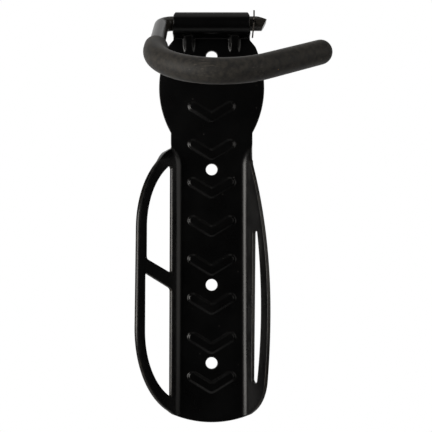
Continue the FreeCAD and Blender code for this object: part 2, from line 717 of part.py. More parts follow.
def add_barrel(body):
    """Flange bent forward from the head and rolled up into a barrel."""
    sketch = new_sketch(body, "barrel_section", "YZ_Plane")
    draw(sketch, [
        (0, "flange_bend", "flange_outside", "left"),
        ("-flange_outside", "flange_top"),
        ("-hinge_forward", "flange_top", "barrel_bore", "right"),
        ("-bore_front", "hinge_height", "barrel_bore", "right"),
        ("-hinge_forward", "bore_top", "barrel_bore", "right"),
        ("-bore_back", "hinge_height", "barrel_bore", "right"),
        ("-free_inner_ahead", "free_inner_height"),
        ("-free_outer_ahead", "free_outer_height", "barrel_outer", "left"),
        ("-barrel_back", "hinge_height", "barrel_outer", "left"),
        ("-hinge_forward", "barrel_top", "barrel_outer", "left"),
        ("-barrel_front", "hinge_height", "barrel_outer", "left"),
        ("-hinge_forward", "flange_level"),
        ("-flange_outside", "flange_level", "flange_inside", "right"),
        ("-sheet", "flange_bend"),
    ])
    pad(body, "barrel", sketch, "tab_wide", SideType="Symmetric")
    for side in ("left", "right"):
        ends = new_sketch(body, side + "_barrel_end", "XZ_Plane",
                          (0, 0, "front_clear"))
        draw(ends, side_of(side, [
            ("tab_half", "flange_level"),
            ("barrel_half", "trim_low"),
            ("barrel_half", "trim_high"),
            ("barrel_crown_half", "barrel_top"),
            ("barrel_crown_half", "trim_top"),
            ("trim_out", "trim_top"),
            ("trim_out", "flange_level"),
        ]))
        pocket(body, side + "_barrel_trim", ends, Type="ThroughAll")


def add_gussets(body):
    """Two stiffening ribs pressed into the corner below the flange."""
    for side, out in (("left", "-gusset_out"), ("right", "gusset_out")):
        wedge = new_sketch(body, side + "_gusset_section", "YZ_Plane",
                           (0, 0, out))
        draw(wedge, [
            ("-sheet", "gusset_foot"),
            ("-gusset_ahead", "flange_level"),
            ("-gusset_ahead", "gusset_roof"),
            ("-gusset_root", "gusset_roof"),
            ("-gusset_root", "gusset_foot"),
        ])
        pad(body, side + "_gusset", wedge, "gusset_wide",
            SideType="Symmetric")
    slope = FreeCAD.Vector(0, -size("gusset_deep"), size("gusset_tall"))
    slope.normalize()
    round_edges(body, "gusset_edges", "gusset_round",
                lambda edge: straight_along(edge, slope))
    for side, out in (("left", "-gusset_out"), ("right", "gusset_out")):
        dent = new_sketch(body, side + "_dent_section", "YZ_Plane",
                          (0, 0, out))
        draw(dent, [
            ("dent_behind", "dent_behind_foot"),
            ("dent_behind", "dent_over"),
            ("-dent_ahead", "dent_over"),
        ])
        pocket(body, side + "_dent", dent, SideType="Symmetric",
               Length="=" + cell("dent_wide"))


def vee_corners(band):
    """Outline of a V with round lobes, as wide as a band."""
    return [
        (0, band + "_notch"),
        (band + "_top_out", band + "_top_level", band, "right"),
        (band + "_end_out", band + "_end_level", band, "right"),
        (band + "_low_out", band + "_low_level"),
        (band + "_foot_out", band + "_foot_level", band, "right"),
        ("-" + band + "_foot_out", band + "_foot_level"),
        ("-" + band + "_low_out", band + "_low_level", band, "right"),
        ("-" + band + "_end_out", band + "_end_level", band, "right"),
        ("-" + band + "_top_out", band + "_top_level"),
    ]


def add_vees(body):
    """Column of V-shaped grip ribs, pressed forward out of the face."""
    front = new_sketch(body, "vee_sketch", "XZ_Plane", (0, 0, "sheet"))
    draw(front, vee_corners("vee_band"))
    rib = pad(body, "vee", front, "vee_proud",
              TaperAngle="=-" + cell("vee_draft", "deg"))
    back = new_sketch(body, "vee_dent_sketch", "XZ_Plane")
    draw(back, vee_corners("vee_dent"))
    dent = pocket(body, "vee_dent", back, Reversed=True,
                  Length="=" + cell("vee_proud"),
                  TaperAngle="=-" + cell("vee_draft", "deg"))
    column = body.newObject("PartDesign::LinearPattern", "vee_column")
    column.Originals = [rib, dent]
    column.Direction = (origin_part(body, "Z_Axis"), [""])
    column.Reversed = True
    column.setExpression("Length", cell("vee_run"))
    column.setExpression("Occurrences", "Sizes.vee_count")
    body.Tip = column
    doc.recompute()


def add_screw_holes(body):
    """Three evenly spaced screw holes and a fourth near the foot."""
    sketch = new_sketch(body, "hole_sketch", "XZ_Plane", (0, 0, "front_clear"))
    for level in ("hole_high", 0, "hole_low", "hole_foot"):
        draw_circle(sketch, 0, level, "hole_bore")
    pocket(body, "screw_holes", sketch, Type="ThroughAll")


def build_backplate():
    body = new_body("backplate")
    add_face(body)
    for side in ("left", "right"):
        add_wing(body, side)
    shape_left_wing(body)
    shape_right_wing(body)
    trim_neck(body)
    shape_foot(body)
    round_windows(body)
    add_barrel(body)
    add_gussets(body)
    add_vees(body)
    add_screw_holes(body)
    return body


# ----------------------------------------------------------------- hook ---
def hook_sketch(body, name):
    """A sketch in the hook's plane: x across, y outward from its axis."""
    return new_sketch(body, name, "XZ_Plane",
                      (0, "hinge_height", "hinge_forward"),
                      (FreeCAD.Vector(1, 0, 0),
                       "90 deg + " + cell("tilt", "deg")))


def build_hook_rod():
    """Bent rod: tail, barrel stretch, leg, bow and falling tip."""
    body = new_body("hook_rod")
    spine = hook_sketch(body, "rod_spine")
    draw(spine, [
        ("tail_end", 0),
        ("elbow_x", 0, "elbow", "right"),
        ("leg_x", "elbow"),
        ("leg_x", "bow_low", "bow_left", "right"),
        ("bow_x", "reach", "bow_right", "right"),
        ("bow_fall_x", "bow_fall_out"),
        ("rod_end", "rod_end_out"),
    ], closed=False)
    section = new_sketch(body, "rod_section", "YZ_Plane",
                         ("-hinge_forward", "hinge_height", "tail_end"),
                         (FreeCAD.Vector(0, 1, 0), "180 deg"))
    draw_circle(section, 0, 0, "rod_radius")
    pipe(body, "AdditivePipe", "rod_bar", section, spine)
    tail = new_sketch(body, "tail_sketch", "XZ_Plane",
                      (0, "hinge_height", "hinge_forward"))
    draw(tail, [
        ("tail_flat_x", "rod_radius"),
        ("tail_end", "tail_top"),
        ("tail_low_x", "-rod_radius"),
        ("tail_low_x", "-rod"),
        ("tail_past", "-rod"),
        ("tail_past", "rod"),
        ("tail_flat_x", "rod"),
    ])
    pocket(body, "tail", tail, SideType="Symmetric",
           Length="=2 * " + cell("rod"))
    hole = new_sketch(body, "pin_hole_sketch", "XZ_Plane",
                      (0, "hinge_height", "pin_hole_front"))
    draw_circle(hole, "pin_out", 0, "pin_hole")
    pocket(body, "pin_hole", hole, Type="ThroughAll")
    return body


def build_hook_sleeve():
    """Rubber tube over the bow, closed by a round tip."""
    body = new_body("hook_sleeve")
    for name, end_x, end_out, radius, kind in (
            ("tube", "sleeve_end", "sleeve_end_out", "sleeve_radius",
             "AdditivePipe"),
            ("bore", "rod_end", "rod_end_out", "rod_radius",
             "SubtractivePipe")):
        spine = hook_sketch(body, name + "_spine")
        draw(spine, [
            ("leg_x", "sleeve_start"),
            ("leg_x", "bow_low", "bow_left", "right"),
            ("bow_x", "reach", "bow_right", "right"),
            ("bow_fall_x", "bow_fall_out"),
            (end_x, end_out),
        ], closed=False)
        section = new_sketch(body, name + "_section", "XY_Plane",
                             ("leg_x", "-mouth_ahead", "mouth_level"),
                             (FreeCAD.Vector(1, 0, 0),
                              "90 deg + " + cell("tilt", "deg")))
        draw_circle(section, 0, 0, radius)
        if name == "bore":
            add_tip(body)
        pipe(body, kind, name, section, spine)
    around = 2 * math.pi * size("sleeve_radius")

    def rim(edge):
        at_mouth = abs(edge.CenterOfMass.z - size("mouth_level")) < 0.1
        return at_mouth and abs(edge.Length - around) < 0.1

    round_edges(body, "lip", "sleeve_lip", rim)
    return body


def add_tip(body):
    """Half ball that closes the sleeve."""
    sketch = hook_sketch(body, "tip_section")
    draw(sketch, [
        ("sleeve_end", "sleeve_end_out"),
        ("tip_side_x", "tip_side_out", "sleeve_radius", "right"),
        ("tip_x", "tip_out"),
    ])
    start = FreeCAD.Vector(size("sleeve_end"), size("sleeve_end_out"), 0)
    end = FreeCAD.Vector(size("tip_x"), size("tip_out"), 0)
    index = sketch.addGeometry(Part.LineSegment(start, end), True)
    hold_point(sketch, index, 1, "sleeve_end", "sleeve_end_out")
    hold_point(sketch, index, 2, "tip_x", "tip_out")
    sweep_feature(body, "Revolution", "tip", sketch, {
        "ReferenceAxis": (sketch, ["Axis0"]),
        "Angle": 360,
    })


# ------------------------------------------------------------ split pin ---
def build_split_pin():
    """Two legs of wire through the rod, bent apart, with an eye behind."""
    body = new_body("split_pin")
    place = ("-hinge_forward", "hinge_height", "pin_out")
    lean = (FreeCAD.Vector(1, 0, 0), cell("pin_lean", "deg"))
    loop = new_sketch(body, "loop_spine", "YZ_Plane", place)
    draw(loop, [
        ("-pin_bend_start", "pin_strand"),
        ("pin_back", "pin_strand", "pin_flare", "left"),
        ("loop_start", "loop_lift", "pin_eye", "right"),
        ("loop_middle", "pin_eye", "pin_eye", "right"),
        ("loop_end", 0, "pin_eye", "right"),
        ("loop_middle", "-pin_eye", "pin_eye", "right"),
        ("loop_start", "-loop_lift", "pin_flare", "left"),
        ("pin_back", "-pin_strand"),
        ("-pin_bend_start", "-pin_strand"),
    ], closed=False)
    wire = new_sketch(body, "loop_section", "XZ_Plane",
                      (0, "hinge_height", "pin_bend_ahead"),
                      (FreeCAD.Vector(0, 1, 0), "180 deg"))
    draw_circle(wire, "-pin_out", "pin_strand", "pin_radius")
    pipe(body, "AdditivePipe", "loop", wire, loop)
    for name, sign, bend, level, tilted in (
            ("up", "", "right", "strand_high", None),
            ("down", "-", "left", "strand_low",
             (FreeCAD.Vector(1, 0, 0), cell("pin_lean", "deg")))):
        spine = new_sketch(body, name + "_leg_spine", "YZ_Plane",
                           ("-hinge_forward", level, "pin_out"), tilted)
        draw(spine, [
            ("-pin_bend_start", 0, "pin_turn", bend),
            ("-pin_front", sign + "pin_turn"),
            ("-pin_front", sign + "pin_" + name),
        ], closed=False)
        section = new_sketch(body, name + "_leg_section", "XZ_Plane",
                             (0, level, "pin_bend_ahead"))
        draw_circle(section, "pin_out", 0, "pin_radius")
        pipe(body, "AdditivePipe", name + "_leg", section, spine)
    return body


# --------------------------------------------------------------- export ---
bodies = [build_backplate(), build_hook_rod(), build_hook_sleeve(),
          build_split_pin()]
doc.recompute()

for item in doc.Objects:
    bad = {"Invalid", "Error"} & set(item.State)
    assert not bad, f"{item.Name} is {item.State}"
for body in bodies:
    assert not body.Shape.isNull(), f"{body.Label} is empty"
    assert body.Shape.isValid(), f"{body.Label} is not valid"
    assert len(body.Shape.Solids) == 1, f"{body.Label} is not one solid"
for body in bodies:
    body.Shape.exportStep(f"parts/{body.Label}.step")
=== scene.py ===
"""Looks of a bicycle wall rack: pressed backplate, swinging hook, sleeve and split pin.

Lengths are metres, and millimetres where a class says so.  X runs across the
rack, Y into the wall and Z up.
"""

import logging
import math
from collections.abc import Callable
from dataclasses import dataclass, field
from enum import Enum

import bmesh
import bpy
import numpy as np
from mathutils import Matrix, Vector
from mathutils.geometry import delaunay_2d_cdt

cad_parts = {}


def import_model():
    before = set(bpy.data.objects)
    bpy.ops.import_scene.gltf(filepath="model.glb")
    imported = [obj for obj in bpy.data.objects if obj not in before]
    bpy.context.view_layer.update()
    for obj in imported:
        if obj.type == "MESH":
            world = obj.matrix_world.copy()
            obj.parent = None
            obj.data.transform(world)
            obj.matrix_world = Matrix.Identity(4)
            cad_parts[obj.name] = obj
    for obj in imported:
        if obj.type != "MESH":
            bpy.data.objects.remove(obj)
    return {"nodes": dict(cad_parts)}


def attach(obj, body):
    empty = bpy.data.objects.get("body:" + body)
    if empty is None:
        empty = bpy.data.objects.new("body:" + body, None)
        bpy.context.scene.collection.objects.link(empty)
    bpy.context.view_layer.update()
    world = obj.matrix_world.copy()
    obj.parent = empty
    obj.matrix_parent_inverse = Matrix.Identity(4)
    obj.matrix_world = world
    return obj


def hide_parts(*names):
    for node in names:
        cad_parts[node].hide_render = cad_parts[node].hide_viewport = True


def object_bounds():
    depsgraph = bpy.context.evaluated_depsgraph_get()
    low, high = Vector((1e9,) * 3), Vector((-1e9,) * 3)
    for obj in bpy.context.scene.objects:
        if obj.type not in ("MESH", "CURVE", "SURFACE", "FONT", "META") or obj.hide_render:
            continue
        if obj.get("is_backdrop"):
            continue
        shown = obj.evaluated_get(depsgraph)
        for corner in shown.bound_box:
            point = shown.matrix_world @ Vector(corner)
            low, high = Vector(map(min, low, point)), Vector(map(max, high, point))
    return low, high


MM = 0.001
FAR = 1e3  # stands for "no limit" among millimetres
HALVINGS = 34  # steps of a search by halving
LARGEST_TURN = 0.2  # between points of an arc, radians
BOW = np.linspace(0, 1, 7)[1:-1, None]  # stations of a rounded corner, as shares of it
ROUND = (30.0, 60.0, 90.0)  # stations of a rounded edge, degrees
WALL = 2 * len(ROUND)  # points across a wall between two rounded edges
QUARTER = (22.5, 45.0, 67.5, 90.0)  # stations of the barrel's rounded free edge
MIRROR = (-1, 1, 1)
WHOLE_HULL = 0  # the triangulation's kind of output: all triangles of the hull
TINY = 1e-6  # a distance that counts as none
WHITE = (1, 1, 1, 1)
Socket = bpy.types.NodeSocket
log = logging.getLogger("wall_rack")


class Body(Enum):
    """The bodies that pieces ride on."""

    PLATE = "plate"
    HOOK = "hook"


class Slot(Enum):
    """The record's material slots."""

    POWDER_COAT = "powder_coat"
    ROD_COAT = "rod_coat"
    SLEEVE_RUBBER = "sleeve_rubber"
    PIN_STEEL = "pin_steel"


# ------------------------------------------------------------ mesh helpers ---
def mesh_object(name: str, points: np.ndarray, faces: list) -> bpy.types.Object:
    """Make a mesh object at the origin.

    Args:
        name: name of the object and of its mesh.
        points: n by 3 array of places.
        faces: faces as lists or an array of point numbers.

    Returns:
        The object, linked to the scene.
    """
    mesh = bpy.data.meshes.new(name)
    mesh.from_pydata(points, [], faces)
    mesh.update()
    made = bpy.data.objects.new(name, mesh)
    bpy.context.scene.collection.objects.link(made)
    return made


def strip_quads(rows: np.ndarray, closed: bool) -> np.ndarray:
    """Quads between neighbouring rows of point numbers.

    Args:
        rows: rows by columns array of point numbers.
        closed: whether the last row joins the first.

    Returns:
        n by 4 array.
    """
    following = np.roll(rows, -1, axis=0) if closed else rows[1:]
    rows = rows if closed else rows[:-1]
    return np.stack([rows[:, :-1], following[:, :-1], following[:, 1:], rows[:, 1:]],
                    -1).reshape(-1, 4)


def close_up(piece: bpy.types.Object, within: float = 0.02 * MM) -> None:
    """Weld a piece's points, turn its faces outwards and shade it smooth.

    Args:
        piece: the piece.
        within: distance at which points agree.
    """
    work = bmesh.new()
    work.from_mesh(piece.data)
    bmesh.ops.remove_doubles(work, verts=work.verts, dist=within)
    bmesh.ops.recalc_face_normals(work, faces=work.faces)
    log.info("%s: %d open edges", piece.name, sum(not e.is_manifold for e in work.edges))
    work.to_mesh(piece.data)
    work.free()
    mesh = piece.data
    mesh.polygons.foreach_set("use_smooth", np.ones(len(mesh.polygons), bool))
    mesh.update()


# ------------------------------------------------------------------- lines ---
@dataclass(frozen=True)
class Corner:
    """One corner of a line: a place, and the arc or rounding that belongs to it.

    radius is that of the arc that leaves the corner, turning to the right; round
    is the size of the rounding of the corner itself.  Millimetres.
    """

    across: float
    level: float
    radius: float = 0.0
    round: float = 0.0


def sagitta_radius(run: float, step: float) -> float:
    """Radius of an arc that leaves a direction, runs on by run and steps aside."""
    return (run ** 2 + step ** 2) / (2 * step)


def bowed(place: tuple, following: tuple) -> Corner:
    """A corner whose arc is upright at one of its ends and leads to the next place."""
    return Corner(*place, sagitta_radius(abs(following[1] - place[1]),
                                         abs(following[0] - place[0])))


def unit(vectors: np.ndarray) -> np.ndarray:
    """Vectors made one long."""
    return vectors / np.linalg.norm(vectors, axis=-1, keepdims=True)


def circle(degrees: np.ndarray) -> np.ndarray:
    """Points of a circle of radius one: cosine and sine."""
    return np.stack([np.cos(np.radians(degrees)), np.sin(np.radians(degrees))], 1)


def arc_points(start: np.ndarray, end: np.ndarray, radius: float, step: float) -> np.ndarray:
    """Points of the shorter arc from start to end, turning right, without its last point.

    The centre lies to the right of the chord's middle, at the height of an
    isosceles triangle whose sides are the radius.

    Args:
        start: first point.
        end: last point.
        radius: the arc's radius.
        step: largest distance between points.

    Returns:
        n by 2 array.
    """
    chord = end - start
    half = float(np.hypot(*chord)) / 2
    side = np.array([chord[1], -chord[0]]) / (2 * half)
    centre = (start + end) / 2 + side * math.sqrt(max(radius ** 2 - half ** 2, 0))
    sweep = 2 * math.asin(min(half / radius, 1))
    count = max(math.ceil(sweep * radius / step), math.ceil(sweep / LARGEST_TURN), 1)
    first = math.atan2(start[1] - centre[1], start[0] - centre[0])
    angles = first - sweep * np.arange(count) / count
    return centre + radius * np.stack([np.cos(angles), np.sin(angles)], 1)


def trace(corners: list, step: float = 0.25, closed: bool = True) -> np.ndarray:
    """Points along the lines and arcs through corners.

    Args:
        corners: the corners in order.
        step: largest distance between points.
        closed: whether the last corner joins the first.

    Returns:
        n by 2 array.
    """
    places = [np.array([c.across, c.level]) for c in corners]
    parts = []
    for i in range(len(corners) if closed else len(corners) - 1):
        start, end = places[i], places[(i + 1) % len(places)]
        if corners[i].radius:
            parts.append(arc_points(start, end, corners[i].radius, step))
            continue
        count = max(math.ceil(float(np.hypot(*(end - start))) / step), 1)
        share = np.arange(count)[:, None] / count
        parts.append(start + (end - start) * share)
    if not closed:
        parts.append(places[-1][None])
    points = np.concatenate(parts)
    for corner, place in zip(corners, places):
        if corner.round:
            points = rounded(points, place, corner.round)
    return points


def rounded(points: np.ndarray, corner: np.ndarray, size: float) -> np.ndarray:
    """Replace the points near a corner by a parabola that touches both sides.

    Args:
        points: closed line, n by 2.
        corner: the corner's place.
        size: distance from the corner at which the rounding begins.

    Returns:
        The rounded line.
    """
    nearest = int(np.argmin(np.hypot(*(points - corner).T)))
    points = np.roll(points, -nearest, axis=0)
    far = np.hypot(*(points - corner).T) > size
    first, last = np.argmax(far), len(points) - 1 - np.argmax(far[::-1])
    bow = ((1 - BOW) ** 2 * points[last] + 2 * BOW * (1 - BOW) * corner
           + BOW ** 2 * points[first])
    return np.concatenate([points[first:last + 1], bow])


def spaced(points: np.ndarray, step: float, closed: bool) -> np.ndarray:
    """Points along a line at equal distances, found by its running length.

    Args:
        points: the line, n by 2.
        step: least distance between them.
        closed: whether the last point joins the first.

    Returns:
        m by 2 array, with the last point only where the line is open.
    """
    line = np.concatenate([points, points[:1]]) if closed else points
    run = np.concatenate([[0], np.cumsum(np.hypot(*np.diff(line, axis=0).T))])
    at = np.linspace(0, run[-1], int(run[-1] / step) + 1)[:-1 if closed else None]
    return np.stack([np.interp(at, run, line[:, 0]), np.interp(at, run, line[:, 1])], 1)


def ease(value: np.ndarray, low: float, high: float) -> np.ndarray:
    """Smooth step from 0 at low to 1 at high: t squared times three minus two t."""
    t = np.clip((value - low) / (high - low), 0, 1)
    return t * t * (3 - 2 * t)


# ------------------------------------------------------------- bent sheet ---
@dataclass(frozen=True)
class SheetForm:
    """Form of the bent and pressed sheet, without its outline.  Millimetres.

    The face is flat up to the crease, where each wing bends forward by the
    flare.  V ribs stand on the face, and two stiffening ribs draw the corner
    below the flange forward.  nearest, farthest and longest_run are the limits
    of the searches by halving.
    """

    sheet: float = 2.5
    flare: float = math.radians(55)
    inside: float = 6.0
    face_half: float = 18.96
    crease_turn: float = 19.04
    crease_start: float = 2.1
    rib_step: float = 25.4
    rib_count: int = 9
    rib_half: float = 11.9
    rib_drop: float = 7.3
    rib_top: float = 67.65
    rib_blunt: float = 0.5
    rib_band: float = 3.9
    rib_proud: float = 1.2
    rib_flank: float = 2.0
    corner_foot: float = 78.4
    corner_out: float = 15.2
    corner_deep: float = 6.0
    corner_tall: float = 10.0
    corner_flank: float = 1.8
    corner_front: float = 3.9
    corner_back: float = 2.4
    flange_level: float = 88.4
    flange_inside: float = 1.2
    nearest: float = 10.0
    farthest: float = 60.0
    longest_run: float = 8.0

    @property
    def fold(self) -> float:
        """Where the planes of the face and of a wing meet, across."""
        return self.face_half + self.inside * math.tan(self.flare / 2)

    def beyond(self, x: np.ndarray, z: np.ndarray) -> tuple:
        """Distance beyond the crease, with its direction.

        Below the start of its turn the crease is a line beside the face; above
        it is a circle about a point beside that line, and the distance is the
        circle's radius minus the distance from its centre.

        Args:
            x: places across.
            z: heights.

        Returns:
            The distance, and its unit direction across and upwards.
        """
        side, sign = np.abs(x), np.where(x < 0, -1.0, 1.0)
        over = np.maximum(z - self.crease_start, 0)
        gap = self.face_half + self.crease_turn - side
        away = np.maximum(np.hypot(gap, over), TINY)
        turned = over > 0
        distance = np.where(turned, self.crease_turn - away, side - self.face_half)
        return (distance, np.where(turned, gap / away, 1.0) * sign,
                np.where(turned, -over / away, 0.0))

    def ahead(self, distance: np.ndarray, radius: float) -> np.ndarray:
        """Rise of the bend: a circle's arc up to the flare angle, then straight.

        Args:
            distance: distance beyond the crease.
            radius: radius of the bend.

        Returns:
            How far forward the surface lies.
        """
        end = radius * math.sin(self.flare)
        inner = np.clip(distance, 0, end)
        return (radius - np.sqrt(radius ** 2 - inner ** 2)
                + np.maximum(distance - end, 0) * math.tan(self.flare))

    def along(self, x: np.ndarray, z: np.ndarray) -> np.ndarray:
        """Distance from the fold, measured in the plane of the wing."""
        distance = self.beyond(x, z)[0]
        return ((x - self.fold) * math.cos(self.flare)
                + self.ahead(distance, self.inside) * math.sin(self.flare))

    def across(self, along: np.ndarray, z: np.ndarray) -> np.ndarray:
        """The place across that has a distance along the wing, by halving.

        Args:
            along: distances along the wing.
            z: heights.

        Returns:
            Places across.
        """
        low, high = np.full(len(z), self.nearest), np.full(len(z), self.farthest)
        for _ in range(HALVINGS):
            middle = (low + high) / 2
            past = self.along(middle, z) > along
            low, high = np.where(past, low, middle), np.where(past, middle, high)
        return (low + high) / 2

    def rib_away(self, x: np.ndarray, z: np.ndarray) -> np.ndarray:
        """Distance from the middle line of the nearest V rib.

        The distance to a slanting stroke from the V's tip to its end, with
        the place across made blunt at the middle: the root of its square plus
        a small square.

        Args:
            x: places across.
            z: heights.

        Returns:
            Distances.
        """
        which = np.clip(np.round((self.rib_top - self.rib_drop / 2 - z) / self.rib_step),
                        0, self.rib_count - 1)
        tip = self.rib_top - self.rib_drop - which * self.rib_step
        out, up = np.hypot(x, self.rib_blunt) - self.rib_blunt / 2, z - tip
        share = np.clip((out * self.rib_half + up * self.rib_drop)
                        / (self.rib_half ** 2 + self.rib_drop ** 2), 0, 1)
        return np.hypot(out - share * self.rib_half, up - share * self.rib_drop)

    def rib(self, x: np.ndarray, z: np.ndarray) -> np.ndarray:
        """Height of the V ribs: a smooth step of the distance from their lines."""
        flank = ease(self.rib_away(x, z), self.rib_band - self.rib_flank, self.rib_band)
        return self.rib_proud * (1 - flank)

    def corner_rib(self, x: np.ndarray, y: np.ndarray, z: np.ndarray,
                   run: np.ndarray, spread: float) -> tuple:
        """Draw the corner below the flange forward at the two stiffening ribs.

        A point at a running length from the rib's foot moves towards the same
        share of the straight line from the foot to the flange, by a smooth
        step of its distance from the rib's middle.

        Args:
            x: places across.
            y: places forward and back, before.
            z: heights, before.
            run: running length along the sheet from the rib's foot.
            spread: distance from the middle at which the rib ends.

        Returns:
            y and z after.
        """
        total = (self.flange_level - self.flange_inside - self.corner_foot
                 + math.pi / 2 * self.flange_inside + self.corner_deep - self.flange_inside)
        share = np.clip(run / total, 0, 1)
        aside = np.abs(np.abs(x) - self.corner_out)
        weight = (run > 0) & (run < total)
        weight = weight * (1 - ease(aside, spread - self.corner_flank, spread))
        goal_y = -self.sheet - self.corner_deep * share
        goal_z = self.corner_foot + self.corner_tall * share
        return y + weight * (goal_y - y), z + weight * (goal_z - z)

    def bare(self, x: np.ndarray, z: np.ndarray) -> np.ndarray:
        """How far back the front lies, without ribs."""
        return -self.sheet - self.ahead(self.beyond(x, z)[0], self.inside)

    def front(self, x: np.ndarray, z: np.ndarray) -> np.ndarray:
        """Points of the front at places across and heights."""
        y, z = self.corner_rib(x, self.bare(x, z) - self.rib(x, z), z, z - self.corner_foot,
                               self.corner_front)
        return np.stack([x, y, z], -1)

    def run(self, x: np.ndarray, z: np.ndarray) -> np.ndarray:
        """How far across the back lies from the front, along the wing's normal.

        The run is halved in on: the back's rise at that run less the front's
        equals the run over the tangent of the flare.

        Args:
            x: places across, on the right side.
            z: heights.

        Returns:
            Runs outward.
        """
        front = -self.bare(x, z)
        low, high = np.zeros(len(z)), np.full(len(z), self.longest_run)
        for _ in range(HALVINGS):
            middle = (low + high) / 2
            back = self.ahead(self.beyond(x + middle, z)[0], self.inside + self.sheet)
            short = front - back > middle / math.tan(self.flare)
            low, high = np.where(short, middle, low), np.where(short, high, middle)
        return (low + high) / 2

    def back(self, x: np.ndarray, z: np.ndarray, run: np.ndarray,
             share: np.ndarray) -> np.ndarray:
        """Points of the back that lie behind points of the front.

        Each point goes one thickness along the sheet's normal; where share is
        1 it goes straight outward by a run instead, as the cut edges do.

        Args:
            x: places across.
            z: heights.
            run: run outward of the cut edge at each height.
            share: share of it that each point takes.

        Returns:
            n by 3 array.
        """
        distance, dx, dz = self.beyond(x, z)
        shift = self.sheet * np.clip(distance / self.inside, 0, math.sin(self.flare))
        shift = shift * (1 - share)
        bx = x + shift * dx + share * run * np.where(x < 0, -1.0, 1.0)
        bz = z + shift * dz
        y = -self.ahead(self.beyond(bx, bz)[0], self.inside + self.sheet) - self.rib(x, z)
        y, moved_z = self.corner_rib(bx, y - self.sheet, bz, z - self.corner_foot,
                                     self.corner_back)
        return np.stack([bx, y + self.sheet, moved_z], -1)


@dataclass
class SideLine:
    """Outline of one side of the plate.  Millimetres, across counted outward."""

    sign: float
    neck: list
    wing: list
    foot: list

    def limit(self, head: np.ndarray, z: np.ndarray) -> np.ndarray:
        """How far out the head and the neck let the sheet reach at heights."""
        upper = np.concatenate([head, trace(self.neck, closed=False)])
        return np.interp(z, upper[::-1, 1], upper[::-1, 0], left=FAR)

    def edge(self, form: SheetForm, head: np.ndarray, seam: float) -> np.ndarray:
        """The side of the front face from the seam down to the foot.

        At each height the edge is the nearer one of the head with its neck
        and of the wing.

        Args:
            form: the bent sheet.
            head: line of the head, from the top down.
            seam: height at which it begins.

        Returns:
            n by 2 array of places across and heights.
        """
        top = Corner(self.wing[0].across, self.neck[0].level)
        wing = trace([top] + self.wing, closed=False)
        wing = np.stack([form.across(*wing.T), wing[:, 1]], 1)
        step = 0.1
        z = np.arange(wing[-1, 1], seam + step / 2, step)[::-1]
        z[0] = seam
        outer = np.interp(z, wing[::-1, 1], wing[::-1, 0], right=FAR)
        side = np.stack([np.minimum(self.limit(head, z), outer), z], 1)
        foot = trace(self.foot, closed=False)[1:]
        foot = np.stack([form.across(*foot.T), foot[:, 1]], 1)
        return np.concatenate([side, foot])


# --------------------------------------------------------------- materials ---
class Tree:
    """A node tree with short calls for adding and joining nodes."""

    def __init__(self, tree: bpy.types.NodeTree) -> None:
        """Keep the tree and start it empty."""
        self.tree = tree
        self.tree.nodes.clear()

    def add(self, kind: str, inputs: dict | None = None, **settings: object) -> bpy.types.Node:
        """Add a node.

        Args:
            kind: the node's type.
            inputs: sockets by name or number, each with a value or the output
                socket that feeds it.
            settings: the node's own properties.

        Returns:
            The node.
        """
        node = self.tree.nodes.new(kind)
        for key, value in settings.items():
            setattr(node, key, value)
        for key, value in (inputs or {}).items():
            if isinstance(value, Socket):
                self.join(value, node.inputs[key])
            else:
                node.inputs[key].default_value = value
        return node

    def join(self, output: Socket, socket: Socket) -> None:
        """Feed a socket from an output."""
        self.tree.links.new(output, socket)

    def math(self, operation: str, *values: object) -> Socket:
        """A math node of numbers or sockets; returns its result."""
        return self.add("ShaderNodeMath", dict(enumerate(values)),
                        operation=operation).outputs[0]

    def ramp(self, value: Socket, low: float, high: float,
             start: float = 0.0, end: float = 1.0) -> Socket:
        """A smooth step of a value from start at low to end at high."""
        return self.add("ShaderNodeMapRange", {
            "Value": value, "From Min": low, "From Max": high,
            "To Min": start, "To Max": end}, interpolation_type="SMOOTHSTEP").outputs[0]

    def noise(self, place: Socket, scale: float, detail: float = 2.0,
              roughness: float = 0.5) -> Socket:
        """The value of a noise at a place; scale is in waves per metre."""
        return self.add("ShaderNodeTexNoise", {
            "Vector": place, "Scale": scale, "Detail": detail,
            "Roughness": roughness}).outputs["Fac"]

    def blend(self, share: object, first: object, second: object) -> Socket:
        """A colour between two, by a share; sockets 0, 6 and 7 are a mix's own for it."""
        return self.add("ShaderNodeMix", {0: share, 6: first, 7: second},
                        data_type="RGBA").outputs[2]


def group_tree(name: str, inputs: dict, outputs: dict) -> tuple:
    """Start a shader node group.

    Args:
        name: the group's name.
        inputs: socket names with their default values.
        outputs: socket names with their socket types.

    Returns:
        The group, its Tree, its input node and its output node.
    """
    made = bpy.data.node_groups.new(name, "ShaderNodeTree")
    for label, value in inputs.items():
        kind = "NodeSocketVector" if value is None else "NodeSocketFloat"
        socket = made.interface.new_socket(label, in_out="INPUT", socket_type=kind)
        if value is not None:
            socket.default_value = value
    for label, kind in outputs.items():
        made.interface.new_socket(label, in_out="OUTPUT", socket_type=kind)
    tree = Tree(made)
    return made, tree, tree.add("NodeGroupInput"), tree.add("NodeGroupOutput")


